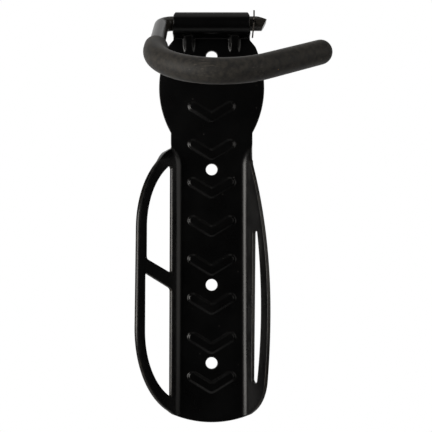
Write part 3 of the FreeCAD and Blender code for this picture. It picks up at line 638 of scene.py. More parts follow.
def grain_group() -> bpy.types.NodeTree:
    """Relief of a sprayed or moulded surface.

    Height is a coarse wave plus a fine one, each a noise about its middle
    times its own amount; Mottle is a slow noise from 0 to 1.

    Returns:
        The group, with outputs Height and Mottle.
    """
    made, tree, given, result = group_tree(
        "grain", {"Vector": None, "Coarse": 700.0, "Coarse Amount": 1.0,
                  "Fine": 3500.0, "Fine Amount": 0.3, "Slow": 45.0},
        {"Height": "NodeSocketFloat", "Mottle": "NodeSocketFloat"})
    height = None
    for scale, amount, detail in (("Coarse", "Coarse Amount", 1.0), ("Fine", "Fine Amount", 2.0)):
        wave = tree.noise(given.outputs["Vector"], given.outputs[scale], detail)
        part = tree.math("MULTIPLY", tree.math("SUBTRACT", wave, 0.5), given.outputs[amount])
        height = part if height is None else tree.math("ADD", height, part)
    tree.join(height, result.inputs["Height"])
    slow = tree.noise(given.outputs["Vector"], given.outputs["Slow"], detail=4.0, roughness=0.6)
    tree.join(tree.ramp(slow, low=0.3, high=0.7), result.inputs["Mottle"])
    return made


def dust_group() -> bpy.types.NodeTree:
    """Sparse specks of dust.

    A speck is a round spot at the centre of a cell of a Voronoi pattern, kept
    where the cell's random number is above a limit; its radius is a share of
    the cell.

    Returns:
        The group, with the output Specks from 0 to 1.
    """
    made, tree, given, result = group_tree(
        "dust", {"Vector": None, "Scale": 400.0, "Rarity": 0.9, "Radius": 0.12},
        {"Specks": "NodeSocketFloat"})
    cells = tree.add("ShaderNodeTexVoronoi", {"Vector": given.outputs["Vector"],
                                              "Scale": given.outputs["Scale"]})
    pick = tree.add("ShaderNodeSeparateColor", {0: cells.outputs["Color"]})
    kept = tree.math("GREATER_THAN", pick.outputs[0], given.outputs["Rarity"])
    size = tree.math("MULTIPLY", given.outputs["Radius"], pick.outputs[1])
    spot = tree.math("LESS_THAN", cells.outputs["Distance"], size)
    tree.join(tree.math("MULTIPLY", kept, spot), result.inputs["Specks"])
    return made


def scuff_group() -> bpy.types.NodeTree:
    """Fine hairline scuffs in one direction.

    A noise stretched fiftyfold and more along its X axis; only its peaks are
    kept, and a slow noise breaks them up into patches.

    Returns:
        The group, with the output Scuffs from 0 to 1.
    """
    made, tree, given, result = group_tree(
        "scuffs", {"Vector": None, "Angle": 0.0, "Scale": 60.0, "Limit": 0.62},
        {"Scuffs": "NodeSocketFloat"})
    turn = tree.add("ShaderNodeCombineXYZ", {"Y": given.outputs["Angle"]})
    place = tree.add("ShaderNodeMapping", {"Vector": given.outputs["Vector"],
                                           "Rotation": turn.outputs[0],
                                           "Scale": (0.4, 20.0, 40.0)}).outputs[0]
    lines = tree.noise(place, given.outputs["Scale"], detail=1.0)
    above = tree.math("SUBTRACT", lines, given.outputs["Limit"])
    peak = tree.ramp(above, low=0.0, high=0.05)
    patch = tree.ramp(tree.noise(given.outputs["Vector"], scale=90.0), low=0.45, high=0.65)
    tree.join(tree.math("MULTIPLY", peak, patch), result.inputs["Scuffs"])
    return made


@dataclass(frozen=True)
class Effects:
    """The shader groups that more than one finish uses."""

    grain: bpy.types.NodeTree
    dust: bpy.types.NodeTree
    scuffs: bpy.types.NodeTree

    @staticmethod
    def build() -> "Effects":
        """Make the groups once."""
        return Effects(grain_group(), dust_group(), scuff_group())


@dataclass(frozen=True)
class Finish:
    """A dark finish with grain, dust and scuffs.

    Colours are linear; scales are waves per metre; relief is in millimetres.
    """

    name: str
    colour: tuple
    mottled: tuple
    rough: float
    dusty: tuple = (0.05, 0.048, 0.045)
    dust_rough: float = 0.8
    dust_scale: float = 400.0
    dust_rarity: float = 0.9
    rough_spread: float = 0.04
    metallic: float = 0.0
    specular: float = 0.5
    coarse: float = 700.0
    slow: float = 45.0
    relief: float = 0.003
    scuff_angle: float = 0.35
    scuff_rough: float = 0.048
    streaked: tuple = (0.0, 0.0, 0.0)
    streaks: float = 0.0
    worn: tuple = (0.0, 0.0, 0.0)
    wear: float = 0.0
    wear_scale: float = 160.0
    sheen: float = 0.0
    sheen_rough: float = 0.4

    def build(self, effects: Effects) -> bpy.types.Material:
        """Make the material.

        Args:
            effects: the shared shader groups.

        Returns:
            The material.
        """
        made = bpy.data.materials.new(self.name)
        made.use_nodes = True
        tree = Tree(made.node_tree)
        place = tree.add("ShaderNodeTexCoord").outputs["Object"]
        grain = tree.add("ShaderNodeGroup", {"Vector": place, "Coarse": self.coarse,
                                             "Slow": self.slow}, node_tree=effects.grain)
        dust = tree.add("ShaderNodeGroup", {"Vector": place, "Scale": self.dust_scale,
                                            "Rarity": self.dust_rarity}, node_tree=effects.dust)
        scuffs = tree.add("ShaderNodeGroup", {"Vector": place, "Angle": self.scuff_angle},
                          node_tree=effects.scuffs)
        mottle, specks = grain.outputs["Mottle"], dust.outputs["Specks"]
        lines = scuffs.outputs["Scuffs"]
        bump = tree.add("ShaderNodeBump", {"Height": grain.outputs["Height"],
                                           "Distance": self.relief * MM, "Strength": 1.0})
        shader = tree.add("ShaderNodeBsdfPrincipled", {
            "Base Color": self.base(tree, place, mottle, specks, lines),
            "Roughness": self.roughness(tree, mottle, specks, lines),
            "Normal": bump.outputs[0], "Metallic": self.metallic,
            "Specular IOR Level": self.specular, "Sheen Weight": self.sheen,
            "Sheen Roughness": self.sheen_rough})
        tree.add("ShaderNodeOutputMaterial", {"Surface": shader.outputs[0]})
        return made

    def base(self, tree: Tree, place: Socket, mottle: Socket, specks: Socket,
             lines: Socket) -> Socket:
        """The colour: mottled, then streaked by scuffs, dusted and worn at cut edges.

        Args:
            tree: the material's nodes.
            place: object coordinates.
            mottle: slow variation.
            specks: specks of dust.
            lines: scuffs.

        Returns:
            The colour's socket.
        """
        colour = tree.blend(mottle, (*self.colour, 1), (*self.mottled, 1))
        colour = tree.blend(tree.math("MULTIPLY", lines, self.streaks), colour,
                            (*self.streaked, 1))
        colour = tree.blend(specks, colour, (*self.dusty, 1))
        if self.wear:
            edge = tree.add("ShaderNodeAttribute", attribute_name="cut_edge").outputs["Fac"]
            patches = tree.ramp(tree.noise(place, self.wear_scale, detail=3.0),
                                low=0.35, high=0.65)
            share = tree.math("MULTIPLY", tree.math("MULTIPLY", edge, patches), self.wear)
            colour = tree.blend(share, colour, (*self.worn, 1))
        return colour

    def roughness(self, tree: Tree, mottle: Socket, specks: Socket, lines: Socket) -> Socket:
        """The roughness: a middle value plus mottle and scuffs, and more on dust.

        Args:
            tree: the material's nodes.
            mottle: slow variation.
            specks: specks of dust.
            lines: scuffs.

        Returns:
            The roughness's socket.
        """
        rough = tree.math("ADD", tree.math("MULTIPLY", mottle, self.rough_spread), self.rough)
        rough = tree.math("ADD", rough, tree.math("MULTIPLY", lines, self.scuff_rough))
        return tree.math("MAXIMUM", rough, tree.math("MULTIPLY", specks, self.dust_rough))


COAT = Finish("black_powder_coat", colour=(0.0008, 0.0008, 0.0009),
              mottled=(0.0013, 0.0013, 0.0014), rough=0.27, specular=0.33,
              worn=(0.04, 0.034, 0.024), wear=0.4)
ROD_PAINT = Finish("black_rod_paint", colour=(0.016, 0.0142, 0.012),
                   mottled=(0.024, 0.021, 0.0175), rough=0.28, relief=0.002)
RUBBER = Finish("dark_rubber", colour=(0.0085, 0.008, 0.0074), mottled=(0.036, 0.032, 0.026),
                rough=0.62, dusty=(0.3, 0.17, 0.07), dust_scale=240.0, dust_rarity=0.86,
                rough_spread=0.1, coarse=1500.0, slow=330.0, relief=0.02, specular=0.4,
                streaked=(0.075, 0.066, 0.054), streaks=0.9, sheen=0.1)
PIN_STEEL = Finish("dark_pin_steel", colour=(0.06, 0.055, 0.05), mottled=(0.08, 0.07, 0.06),
                   rough=0.4, metallic=1.0)


# ---------------------------------------------------------------- the part ---
@dataclass
class Part:
    """What every sub-assembly shares."""

    body: Body
    slot: Slot
    node: str

    def settle(self, piece: bpy.types.Object, material: bpy.types.Material) -> None:
        """Dress a piece, let it ride on its body and stand for its node.

        Args:
            piece: the finished piece.
            material: its only material.
        """
        piece.data.materials.clear()
        piece.data.materials.append(material)
        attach(piece, self.body.value)
        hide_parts(self.node)
        log.info("%s: %d faces", piece.name, len(piece.data.polygons))


# --------------------------------------------------------------- backplate ---
@dataclass(frozen=True)
class GridPlan:
    """Spans of the points inside the face: start, end and step.  Millimetres.

    The flat face has its points close together near a rib and wide apart off
    the ribs, by bands of the distance from the nearest rib.  Beside it come
    the crease with the bend, the wing, the neck, the head and the corner with
    the stiffening ribs.  A span of heights without an end goes up to the seam.
    """

    close_across: tuple = (-16.0, 16.01, 0.43)
    close_levels: tuple = (-160.0, 0.43)
    close_band: tuple = (0.0, 4.5)
    wide_across: tuple = (-16.0, 16.01, 2.0)
    wide_levels: tuple = (-164.0, 2.2)
    wide_band: tuple = (5.2, FAR)
    wing_levels: tuple = (-164.0, 0.5, 2.0)
    crease: tuple = (17.2, 19.5, 1.1)
    bend: tuple = (19.9, 24.3, 0.45)
    wing: tuple = (25.2, 47.0, 1.7)
    head: tuple = (17.2, 35.5, 0.75)
    neck_levels: tuple = (1.2, 26.0, 0.75)
    head_levels: tuple = (27.5, 76.0, 2.5)
    head_share: int = 3
    corner: tuple = (10.8, 19.6, 0.5)
    corner_levels: tuple = (77.5, 0.6)

    def flat(self, seam: float, away: Callable) -> list:
        """Points of the flat face.

        Args:
            seam: height at which the face ends.
            away: distance from the nearest rib at places across and heights.

        Returns:
            Pairs of places across and heights, close ones first.
        """
        blocks = []
        for across, (low, step), (near, off) in (
                (self.close_across, self.close_levels, self.close_band),
                (self.wide_across, self.wide_levels, self.wide_band)):
            x, z = np.meshgrid(np.arange(*across), np.arange(low, seam, step))
            distance = away(x, z)
            keep = (distance >= near) & (distance < off)
            blocks.append((x[keep], z[keep]))
        return blocks

    def beside(self, seam: float) -> list:
        """Points beside the flat face, on both sides.

        Args:
            seam: height at which the face ends.

        Returns:
            Pairs of places across and heights.
        """
        levels = np.arange(*self.wing_levels)
        head = np.arange(*self.head)
        low, step = self.corner_levels
        blocks = ((np.concatenate([np.arange(*self.crease), np.arange(*self.bend)]), levels),
                  (np.arange(*self.wing), levels),
                  (head, np.arange(*self.neck_levels)),
                  (head[::self.head_share], np.arange(*self.head_levels)),
                  (np.arange(*self.corner), np.arange(low, seam, step)))
        return [np.meshgrid(np.concatenate([-across, across]), z) for across, z in blocks]


@dataclass
class CutLine:
    """Line beside a cut edge, with the directions out of the metal along it."""

    line: np.ndarray
    out: np.ndarray
    closed: bool = True


@dataclass
class Backplate(Part):
    """Pressed plate with wings, windows, screw holes and rolled barrel.

    Millimetres.  Pairs are a place across and a height; on wings and windows
    the place is the distance from the fold in the plane of the wing.
    """

    form: SheetForm = field(default_factory=SheetForm)
    spans: GridPlan = field(default_factory=GridPlan)
    edge: float = 0.42
    seam: float = 81.5
    columns: int = 81
    head_stations: int = 9
    bend_stations: int = 8
    flange_stations: int = 9
    barrel_stations: int = 84
    outline_step: float = 0.9
    window_step: float = 0.8
    hole_step: float = 7.5
    grid_margin: float = 0.3
    hole: float = 3.8
    hole_levels: tuple = (76.2, 0.0, -76.2, -127.0)
    tab_half: float = 25.7
    shoulder: tuple = (29.4, 82.6)
    widest: tuple = (35.1, 55.0)
    neck: tuple = (27.2, 24.6)
    right_neck_foot: tuple = (27.2, 5.6)
    left_neck_foot: tuple = (27.2, 14.6)
    left_neck_turn: float = 30.0
    left_neck_out: tuple = (35.3, 7.6)
    wing_top: tuple = (2.9, 13.8)
    right_wing: tuple = ((6.1, 2.5), (23.2, -89.0), (20.0, -137.0), (7.8, -156.4))
    right_wing_turn: float = 29.0
    left_wing: tuple = ((39.2, -40.0), (39.8, -101.0), (7.6, -156.6))
    foot_low: float = -165.0
    foot_side: float = -161.9
    foot_half: float = 20.0
    foot_along: float = -1.19
    foot_band: float = 15.0
    window_in: float = 6.0
    window_round: float = 1.7
    upper_window: tuple = ((31.0, -39.0), (31.0, -58.9), (6.0, -68.6))
    upper_turn: float = 48.0
    upper_tip: float = 2.4
    lower_window: tuple = ((6.0, -78.5), (32.2, -67.4), (32.2, -103.0), (6.0, -148.0))
    right_slot: tuple = ((8.3, -42.0), (12.4, -42.0), (16.0, -88.0), (11.8, -137.0),
                         (6.4, -137.0))
    slot_turns: tuple = (2.26, 2.97)
    run_band: float = 5.0
    run_from: tuple = (-20.0, -5.0)
    run_to: tuple = (20.0, 24.0)
    flange_bend: float = 87.2
    hinge_forward: float = 10.1
    hinge_level: float = 95.7
    barrel: float = 7.3
    rolled: float = 295.0
    barrel_halves: tuple = ((88.4, 25.7), (93.9, 24.8), (99.3, 24.8), (103.0, 23.4))

    @property
    def foot_turn(self) -> float:
        """Radius of the foot."""
        return sagitta_radius(self.foot_half, self.foot_side - self.foot_low)

    def head(self) -> np.ndarray:
        """Line of the head's right edge, from the tab down to the neck."""
        return trace([Corner(self.tab_half, self.flange_bend), bowed(self.shoulder, self.widest),
                      bowed(self.widest, self.neck), Corner(*self.neck)], closed=False)

    def sides(self) -> tuple:
        """The two sides of the plate below the head.

        Returns:
            The right side, then the left.
        """
        start, wide, corner, low = self.right_wing
        right = SideLine(
            1.0, [Corner(*self.neck), Corner(*self.right_neck_foot)],
            [Corner(*self.wing_top), bowed(start, wide), bowed(wide, corner),
             Corner(*corner, self.right_wing_turn), Corner(*low)], self.wing_foot(low))
        high, wide, low = self.left_wing
        left = SideLine(
            -1.0, [Corner(*self.neck), Corner(*self.left_neck_foot, self.left_neck_turn),
                   Corner(*self.left_neck_out)],
            [bowed(self.wing_top, high), Corner(*high), bowed(wide, low), Corner(*low)],
            self.wing_foot(low))
        return right, left

    def wing_foot(self, low: tuple) -> list:
        """Corners of the foot's edge on a wing, from its low corner to the face."""
        return [Corner(*low, self.foot_turn), Corner(self.foot_along, self.foot_side)]

    def outline(self) -> np.ndarray:
        """The outline below the seam: right side, foot and left side, clockwise.

        Returns:
            n by 2 array of places across and heights.
        """
        foot = trace([Corner(self.foot_half, self.foot_side, self.foot_turn),
                      Corner(-self.foot_half, self.foot_side)], closed=False)
        first, last = [side.edge(self.form, self.head(), self.seam) for side in self.sides()]
        return np.concatenate([first[:-1], foot, last[::-1][1:] * (-1, 1)])

    def edge_runs(self, x: np.ndarray, z: np.ndarray, outline: np.ndarray) -> tuple:
        """How far outward the back runs near the sides, and the share of it.

        The cut edge runs along the wing's normal as far as the neck's line
        lets it; the share fades inwards over a band and is nothing far below
        the neck, where the sheet's own normal gives the same.

        Args:
            x: places across.
            z: heights.
            outline: the outline of the front.

        Returns:
            The run and the share of each point.
        """
        runs, shares = np.zeros(len(x)), np.zeros(len(x))
        for side in self.sides():
            edge = self.side_at(outline, z, side.sign)
            room = np.maximum(side.limit(self.head(), z) - self.edge - edge, 0.0)
            run = np.minimum(self.form.run(edge, z), room)
            share = ((1 - ease(edge - np.abs(x), 0.0, self.run_band)) * ease(z, *self.run_from)
                     * (1 - ease(z, *self.run_to)))
            mine = x * side.sign > 0
            runs, shares = np.where(mine, run, runs), np.where(mine, share, shares)
        return runs, shares

    def windows(self) -> list:
        """The windows as closed lines, each with the sign of its side.

        The upper window's arc ends at the height where it is one tip wide.

        Returns:
            Pairs of a sign and an n by 2 array.
        """
        wide, low, inner = self.upper_window
        tip = self.window_in + self.upper_tip
        top = wide[1] + math.sqrt(self.upper_turn ** 2
                                  - (self.upper_turn - wide[0] + tip) ** 2)
        upper = [Corner(self.window_in, top - self.upper_tip, self.upper_tip),
                 Corner(tip, top, self.upper_turn), Corner(*wide),
                 Corner(*low, round=self.window_round), Corner(*inner, round=self.window_round)]
        inner, high, wide, low = self.lower_window
        lower = [Corner(*inner, round=self.window_round), Corner(*high, round=self.window_round),
                 bowed(wide, low), Corner(*low, round=self.window_round)]
        start, high, wide, low, end = self.right_slot
        slot = [Corner(*start, self.slot_turns[0]), bowed(high, wide), bowed(wide, low),
                Corner(*low, self.slot_turns[1]), Corner(*end)]
        made = []
        for sign, corners in ((-1, upper), (-1, lower), (1, slot)):
            line = trace(corners)
            line = np.stack([self.form.across(*line.T), line[:, 1]], 1)
            made.append((sign, spaced(line, self.window_step, True)))
        return made

    def bare(self, line: np.ndarray) -> np.ndarray:
        """Points of the front along a line, without ribs."""
        return np.stack([line[:, 0], self.form.bare(*line.T), line[:, 1]], 1)

    def inset(self, line: np.ndarray, closed: bool, sign: float) -> CutLine:
        """Move a cut edge into the metal by the size of its rounding.

        The tangent is the difference of the neighbours; the inward direction
        is the one square to it in the tangent plane of the sheet.

        Args:
            line: the edge as places across and heights.
            closed: whether it is a closed line.
            sign: 1 where the metal lies to the right of the line, else -1.

        Returns:
            The moved line, with the directions out of the metal.
        """
        tangent = (np.roll(line, -1, 0) - np.roll(line, 1, 0) if closed
                   else np.gradient(line, axis=0))
        tangent = tangent / np.hypot(*tangent.T)[:, None]
        side = np.stack([tangent[:, 1], -tangent[:, 0]], 1) * sign
        step = 0.05
        run, inward = [unit(self.bare(line + step * way) - self.bare(line - step * way))
                       for way in (tangent, side)]
        inward = unit(inward - run * np.sum(run * inward, axis=1, keepdims=True))
        return CutLine(line + self.edge * inward[:, [0, 2]], -inward, closed)

    def side_at(self, outline: np.ndarray, z: np.ndarray, sign: float) -> np.ndarray:
        """Half width of the plate at heights, on the side of a sign.

        Args:
            outline: the outline.
            z: heights.
            sign: 1 for the right side, -1 for the left.

        Returns:
            Distances from the middle.
        """
        half = outline[outline[:, 0] * sign > 0]
        half = half[np.argsort(half[:, 1])]
        return np.interp(z, half[:, 1], np.abs(half[:, 0]))

    def grid(self) -> np.ndarray:
        """Points inside the plate: close together at ribs and bends, wider elsewhere.

        Returns:
            n by 2 array; some of the points lie outside the outline.
        """
        blocks = (self.spans.flat(self.seam, self.form.rib_away)
                  + self.spans.beside(self.seam))
        return np.concatenate([np.stack([x.ravel(), z.ravel()], 1) for x, z in blocks])

    def inside(self, points: np.ndarray, outline: np.ndarray, loops: list,
               margin: float) -> np.ndarray:
        """Which points lie in the metal, by a margin.

        A point is in the metal where it lies between the two sides and above
        the foot, and not between the two sides of a window or inside a hole.

        Args:
            points: n by 2 array.
            outline: the outline.
            loops: windows and holes.
            margin: least distance from them.

        Returns:
            A mask.
        """
        x, z = points.T
        side = np.where(x > 0, self.side_at(outline, z, 1), self.side_at(outline, z, -1))
        low = outline[outline[:, 1] < self.foot_low + self.foot_band]
        low = low[np.argsort(low[:, 0])]
        keep = ((np.abs(x) < side - margin) & (z < self.seam - margin)
                & (z > np.interp(x, low[:, 0], low[:, 1]) + margin))
        for loop in loops:
            top, bottom = np.argmax(loop[:, 1]), np.argmin(loop[:, 1])
            turned = np.roll(loop, -top, axis=0)
            cut = (bottom - top) % len(loop)
            one, other = turned[:cut + 1][::-1], np.concatenate([turned[cut:], turned[:1]])
            ends = [np.interp(z, part[:, 1], part[:, 0]) for part in (one, other)]
            keep &= ~((z > loop[bottom, 1] - margin) & (z < loop[top, 1] + margin)
                      & (x > np.minimum(*ends) - margin) & (x < np.maximum(*ends) + margin))
        return keep

    def path(self) -> tuple:
        """Way of the sheet's outer face from the seam round the barrel.

        Up the head, round the bend, forward below the flange and round the
        barrel, whose free edge is rounded by four stations at one place.

        Returns:
            Places as y and z, normals towards the sheet's other face, running
            length from the foot of the stiffening ribs, tangents, and how far
            each station of the rounded edge is advanced and pinched.
        """
        form = self.form
        inner, ahead = form.flange_inside, form.sheet + form.flange_inside
        straight = np.linspace(self.seam, self.flange_bend, self.head_stations, endpoint=False)
        forward = np.linspace(-ahead, -self.hinge_forward, self.flange_stations, endpoint=False)
        bend = circle(np.linspace(0, 90, self.bend_stations, endpoint=False))
        last = self.rolled - math.degrees(self.edge / self.barrel)
        ring = circle(-90 - np.linspace(0, last, self.barrel_stations))
        place = np.concatenate([
            np.stack([np.full_like(straight, -form.sheet), straight], 1),
            np.array([-ahead, self.flange_bend]) + inner * bend,
            np.stack([forward, np.full_like(forward, form.flange_level)], 1),
            np.array([-self.hinge_forward, self.hinge_level]) + self.barrel * ring])
        normal = np.concatenate([np.tile([1.0, 0.0], (len(straight), 1)), bend,
                                 np.tile([0.0, 1.0], (len(forward), 1)), -ring])
        steps = np.hypot(*np.diff(place, axis=0).T)
        run = self.seam - form.corner_foot + np.concatenate([[0], np.cumsum(steps)])
        tangent = unit(np.gradient(place, run, axis=0))
        turn = np.radians(QUARTER)
        advance = np.append(np.zeros(len(run)), self.edge * np.sin(turn))
        pinch = np.append(np.zeros(len(run)), self.edge * (1 - np.cos(turn)))
        place, normal, tangent = [np.vstack([rows, np.tile(rows[-1], (len(turn), 1))])
                                  for rows in (place, normal, tangent)]
        apart = 0.1  # keeps the stations at one place in order
        run = np.append(run, run[-1] + apart * np.arange(1, len(turn) + 1))
        return place, normal, run, tangent, advance, pinch

    def width_at(self, z: np.ndarray, head: np.ndarray, rising: np.ndarray) -> np.ndarray:
        """Half width of the head, or above it of the flange and barrel.

        Args:
            z: heights.
            head: line of the head.
            rising: where the sheet is still the head.

        Returns:
            Half widths.
        """
        levels, halves = np.array(self.barrel_halves).T
        return np.where(rising, np.interp(z, head[::-1, 1], head[::-1, 0]),
                        np.interp(z, levels, halves))

    def roll(self) -> tuple:
        """Flange and barrel: a rounded strip section carried along the path.

        The section runs across the outer face, round one cut edge, back across
        the inner face and round the other; its width follows the outline.

        Returns:
            Points as stations by section by 3, and the section's first place
            across and outward direction at the seam.
        """
        place, normal, run, tangent, advance, pinch = self.path()
        rising = (np.abs(normal[:, 0]) > 0.999) & (place[:, 1] < self.flange_bend)
        inner = place + self.form.sheet * normal
        halves = [self.width_at(p[:, 1], self.head(), rising) for p in (place, inner)]
        slope = np.gradient(halves[0], run)
        free = len(QUARTER) + 1
        slope[-free:] = slope[-free - 1]
        stretch = np.hypot(1, slope)
        outward = np.column_stack([1 / stretch, -(slope / stretch)[:, None] * tangent])
        u = np.linspace(-1, 1, self.columns)
        rows = []
        for half, face, spread, sign in ((halves[0], place, self.form.corner_front, 1),
                                         (halves[1], inner, self.form.corner_back, -1)):
            x = u * (half - self.edge * stretch)[:, None]
            y0, z0 = place[:, :1] + 0 * x, place[:, 1:] + 0 * x
            y1, z1 = self.form.corner_rib(x, y0, z0, run[:, None] + 0 * x, spread)
            shift = tangent * advance[:, None] + normal * (pinch * sign)[:, None]
            rows.append(np.stack([x, face[:, :1] + y1 - y0 + shift[:, :1],
                                  face[:, 1:] + z1 - z0 + shift[:, 1:]], -1))
        front, back = rows
        right = self.rounding(front[:, -1], back[:, -1], outward)
        left = self.rounding(front[:, 0], back[:, 0], outward * MIRROR)
        section = np.concatenate([front, right, back[:, ::-1], left[:, ::-1]], axis=1)
        return section, front[0, -1, 0], outward[0]

    def rounding(self, front: np.ndarray, back: np.ndarray, outward: np.ndarray) -> np.ndarray:
        """Points of a rounded cut edge between the two faces of the sheet.

        Each rounding is a quarter circle about a point one radius inside the
        face: its points are centre plus radius times sine outward minus cosine
        along the wall.

        Args:
            front: line on the front face.
            back: line on the back face.
            outward: directions out of the metal.

        Returns:
            n by WALL by 3 array.
        """
        wall = unit(back - front)
        outward = unit(outward - wall * np.sum(outward * wall, axis=-1, keepdims=True))
        turn = np.radians(ROUND)[None, :, None]
        out = outward[:, None] * np.sin(turn)
        into = wall[:, None] * (1 - np.cos(turn))
        return np.concatenate([front[:, None] + self.edge * (out + into),
                               (back[:, None] + self.edge * (out - into))[:, ::-1]], axis=1)

    def cut_lines(self, seam_x: float, seam_out: np.ndarray) -> list:
        """The inset outline, windows and holes.

        Args:
            seam_x: half width of the face at the seam.
            seam_out: outward direction there.

        Returns:
            The lines, the outline first.
        """
        outline = self.inset(spaced(self.outline(), self.outline_step, False), False, 1.0)
        outline.line[0], outline.line[-1] = (seam_x, self.seam), (-seam_x, self.seam)
        outline.out[0], outline.out[-1] = seam_out, seam_out * MIRROR
        lines = [outline]
        for sign, line in self.windows():
            cut = self.inset(line, True, -1.0)
            lines.append(CutLine(cut.line * (sign, 1), cut.out * (sign, 1, 1)))
        ring = self.hole * circle(-np.arange(0, 360, self.hole_step))
        lines += [self.inset(ring + (0, level), True, -1.0) for level in self.hole_levels]
        return lines

    def plan(self, flat: np.ndarray, rings: list, lines: list) -> np.ndarray:
        """Triangles of the face: a triangulation that keeps every boundary line.

        A triangle with a side on a boundary is in the metal where it turns
        with the boundary; any other one is judged by its middle.

        Args:
            flat: all the points of the face.
            rings: numbers of the boundary points, the outline's first.
            lines: places of those boundaries, without the seam's points.

        Returns:
            n by 3 array of point numbers.
        """
        edges = np.concatenate([np.stack([ids, np.roll(ids, -1)], 1) for ids in rings])
        points, _, faces, *_ = delaunay_2d_cdt(flat.tolist(), edges.tolist(), [],
                                               WHOLE_HULL, TINY, False)
        points, faces = np.array(points), np.array(faces)
        log.info("plate plan: %d points for %d", len(points), len(flat))
        keep = self.inside(points[faces].mean(axis=1), lines[0], lines[1:], 0.0)
        total = len(points)
        codes = faces * total + np.roll(faces, -1, axis=1)
        for ids in rings:
            after = np.roll(ids, -1)
            (x, z), (x_after, z_after) = points[ids].T, points[after].T
            left = np.sum(x * z_after - z * x_after) > 0
            ahead, astern = ids * total + after, after * total + ids
            if left != (ids is rings[0]):
                ahead, astern = astern, ahead
            keep |= np.isin(codes, ahead).any(axis=1)
            keep &= ~np.isin(codes, astern).any(axis=1)
        return faces[keep]

    def free_edge(self, cap: np.ndarray) -> list:
        """Quads that close the barrel's free edge, whose corners are rounded.

        Args:
            cap: point numbers of the last section.

        Returns:
            Arrays of quads: between the faces, then at the right and the left.
        """
        count = self.columns
        front, back = cap[:count], cap[count + WALL:2 * count + WALL][::-1]
        made = [strip_quads(np.column_stack([front, back]), False)]
        for wall, first, last in ((cap[count:count + WALL], front[-1], back[-1]),
                                  (cap[2 * count + WALL:][::-1], front[0], back[0])):
            ladder = np.concatenate([[first], wall, [last]])
            pairs = np.column_stack([ladder[:WALL // 2 + 1], ladder[:WALL // 2:-1]])
            made.append(np.column_stack([pairs[:-1, 0], pairs[1:, 0], pairs[1:, 1],
                                         pairs[:-1, 1]]))
        return made

    def surface(self) -> tuple:
        """The whole plate as points, triangles and quads, with its edge marks.

        The front is triangulated once between its inner edge lines; the back
        takes the same triangles turned over, and the walls join the two.

        Returns:
            Points, triangles, quads and a 0 to 1 mark of the cut edges.
        """
        section, seam_x, seam_out = self.roll()
        cuts = self.cut_lines(seam_x, seam_out)
        lines = [cut.line for cut in cuts]
        seam = np.linspace(-seam_x, seam_x, self.columns)[1:-1]
        seam = np.stack([seam, np.full_like(seam, self.seam)], 1)
        grid = self.grid()
        grid = grid[self.inside(grid, lines[0], lines[1:], self.grid_margin)]
        rims = [np.concatenate([lines[0], seam])] + lines[1:]
        flat = np.concatenate([*rims, grid])
        rings, start = [], 0
        for rim in rims:
            rings.append(start + np.arange(len(rim)))
            start += len(rim)
        faces = self.plan(flat, rings, lines)
        x, z = flat.T
        front = self.form.front(x, z)
        back = self.form.back(x, z, *self.edge_runs(x, z, lines[0]))
        parts, marks, quads = [front, back], [np.zeros(2 * len(flat))], []
        total = 2 * len(flat)
        for cut, ring in zip(cuts, rings):
            ids = ring[:len(cut.line)]
            wall = self.rounding(front[ids], back[ids], cut.out).reshape(-1, 3)
            numbers = (total + np.arange(len(wall))).reshape(-1, WALL)
            quads.append(strip_quads(np.column_stack([ids, numbers, ids + len(flat)]),
                                     cut.closed))
            parts.append(wall)
            marks.append(np.ones(len(wall)))
            total += len(wall)
        stations, around = section.shape[:2]
        numbers = (total + np.arange(stations * around)).reshape(stations, around)
        quads += [strip_quads(numbers.T, True), *self.free_edge(numbers[-1])]
        parts.append(section.reshape(-1, 3))
        rounded_part = np.arange(around) % (self.columns + WALL) >= self.columns
        marks.append(np.tile(rounded_part.astype(float), stations))
        triangles = np.concatenate([faces, faces[:, ::-1] + len(flat)])
        return np.concatenate(parts), triangles, np.concatenate(quads), np.concatenate(marks)

    def build(self, material: bpy.types.Material, box: list) -> None:
        """Make the plate, weld and close it, mark its cut edges and dress it.

        Args:
            material: its finish.
            box: the corners that it may not pass, which takes up to 0.025 mm off
                the foot and off the top of the barrel.
        """
        points, triangles, quads, marks = self.surface()
        points = np.clip(points * MM, *box)
        piece = mesh_object("coated_backplate", points, triangles.tolist() + quads.tolist())
        layer = piece.data.attributes.new("cut_edge", "FLOAT", "POINT")
        layer.data.foreach_set("value", marks.astype(np.float32))
        close_up(piece)
        self.settle(piece, material)


@dataclass
class PlainNode(Part):
    """A node whose own shape is shown."""

    def build(self, node: bpy.types.Object, material: bpy.types.Material) -> None:
        """Dress the node itself.

        Args:
            node: the CAD node's object.
            material: its only material.
        """
        for slot in range(len(node.data.materials)):
            node.data.materials[slot] = material
        if not node.data.materials:
            node.data.materials.append(material)
        log.info("%s: %d faces", node.name, len(node.data.polygons))


# -------------------------------------------------------------- the studio ---
@dataclass(frozen=True)
class Lamp:
    """A soft rectangular lamp that faces the rack; a radiance of 1 is white."""

    name: str
    place: tuple
    width: float
    height: float
    radiance: float
    colour: tuple = (1.0, 0.97, 0.93)

    def build(self) -> None:
        """Make the lamp; its power is its radiance times pi times its area."""
        data = bpy.data.lights.new(self.name, "AREA")
        data.shape = "RECTANGLE"
        data.size, data.size_y = self.width, self.height
        data.energy = self.radiance * math.pi * self.width * self.height
        data.color = self.colour
        made = bpy.data.objects.new(self.name, data)
        made.location = self.place
        aim = Vector() - Vector(self.place)
        made.rotation_euler = aim.to_track_quat("-Z", "Y").to_euler()
        bpy.context.scene.collection.objects.link(made)


LAMPS = (Lamp("left_lamp", (-1.12, -0.8, 0.0), width=0.8, height=1.0, radiance=7.8),
         Lamp("right_lamp", (1.45, -0.95, 0.3), width=1.9, height=1.6, radiance=1.1),
         Lamp("top_lamp", (0.0, -0.2, 1.3), width=1.2, height=1.2, radiance=0.45))


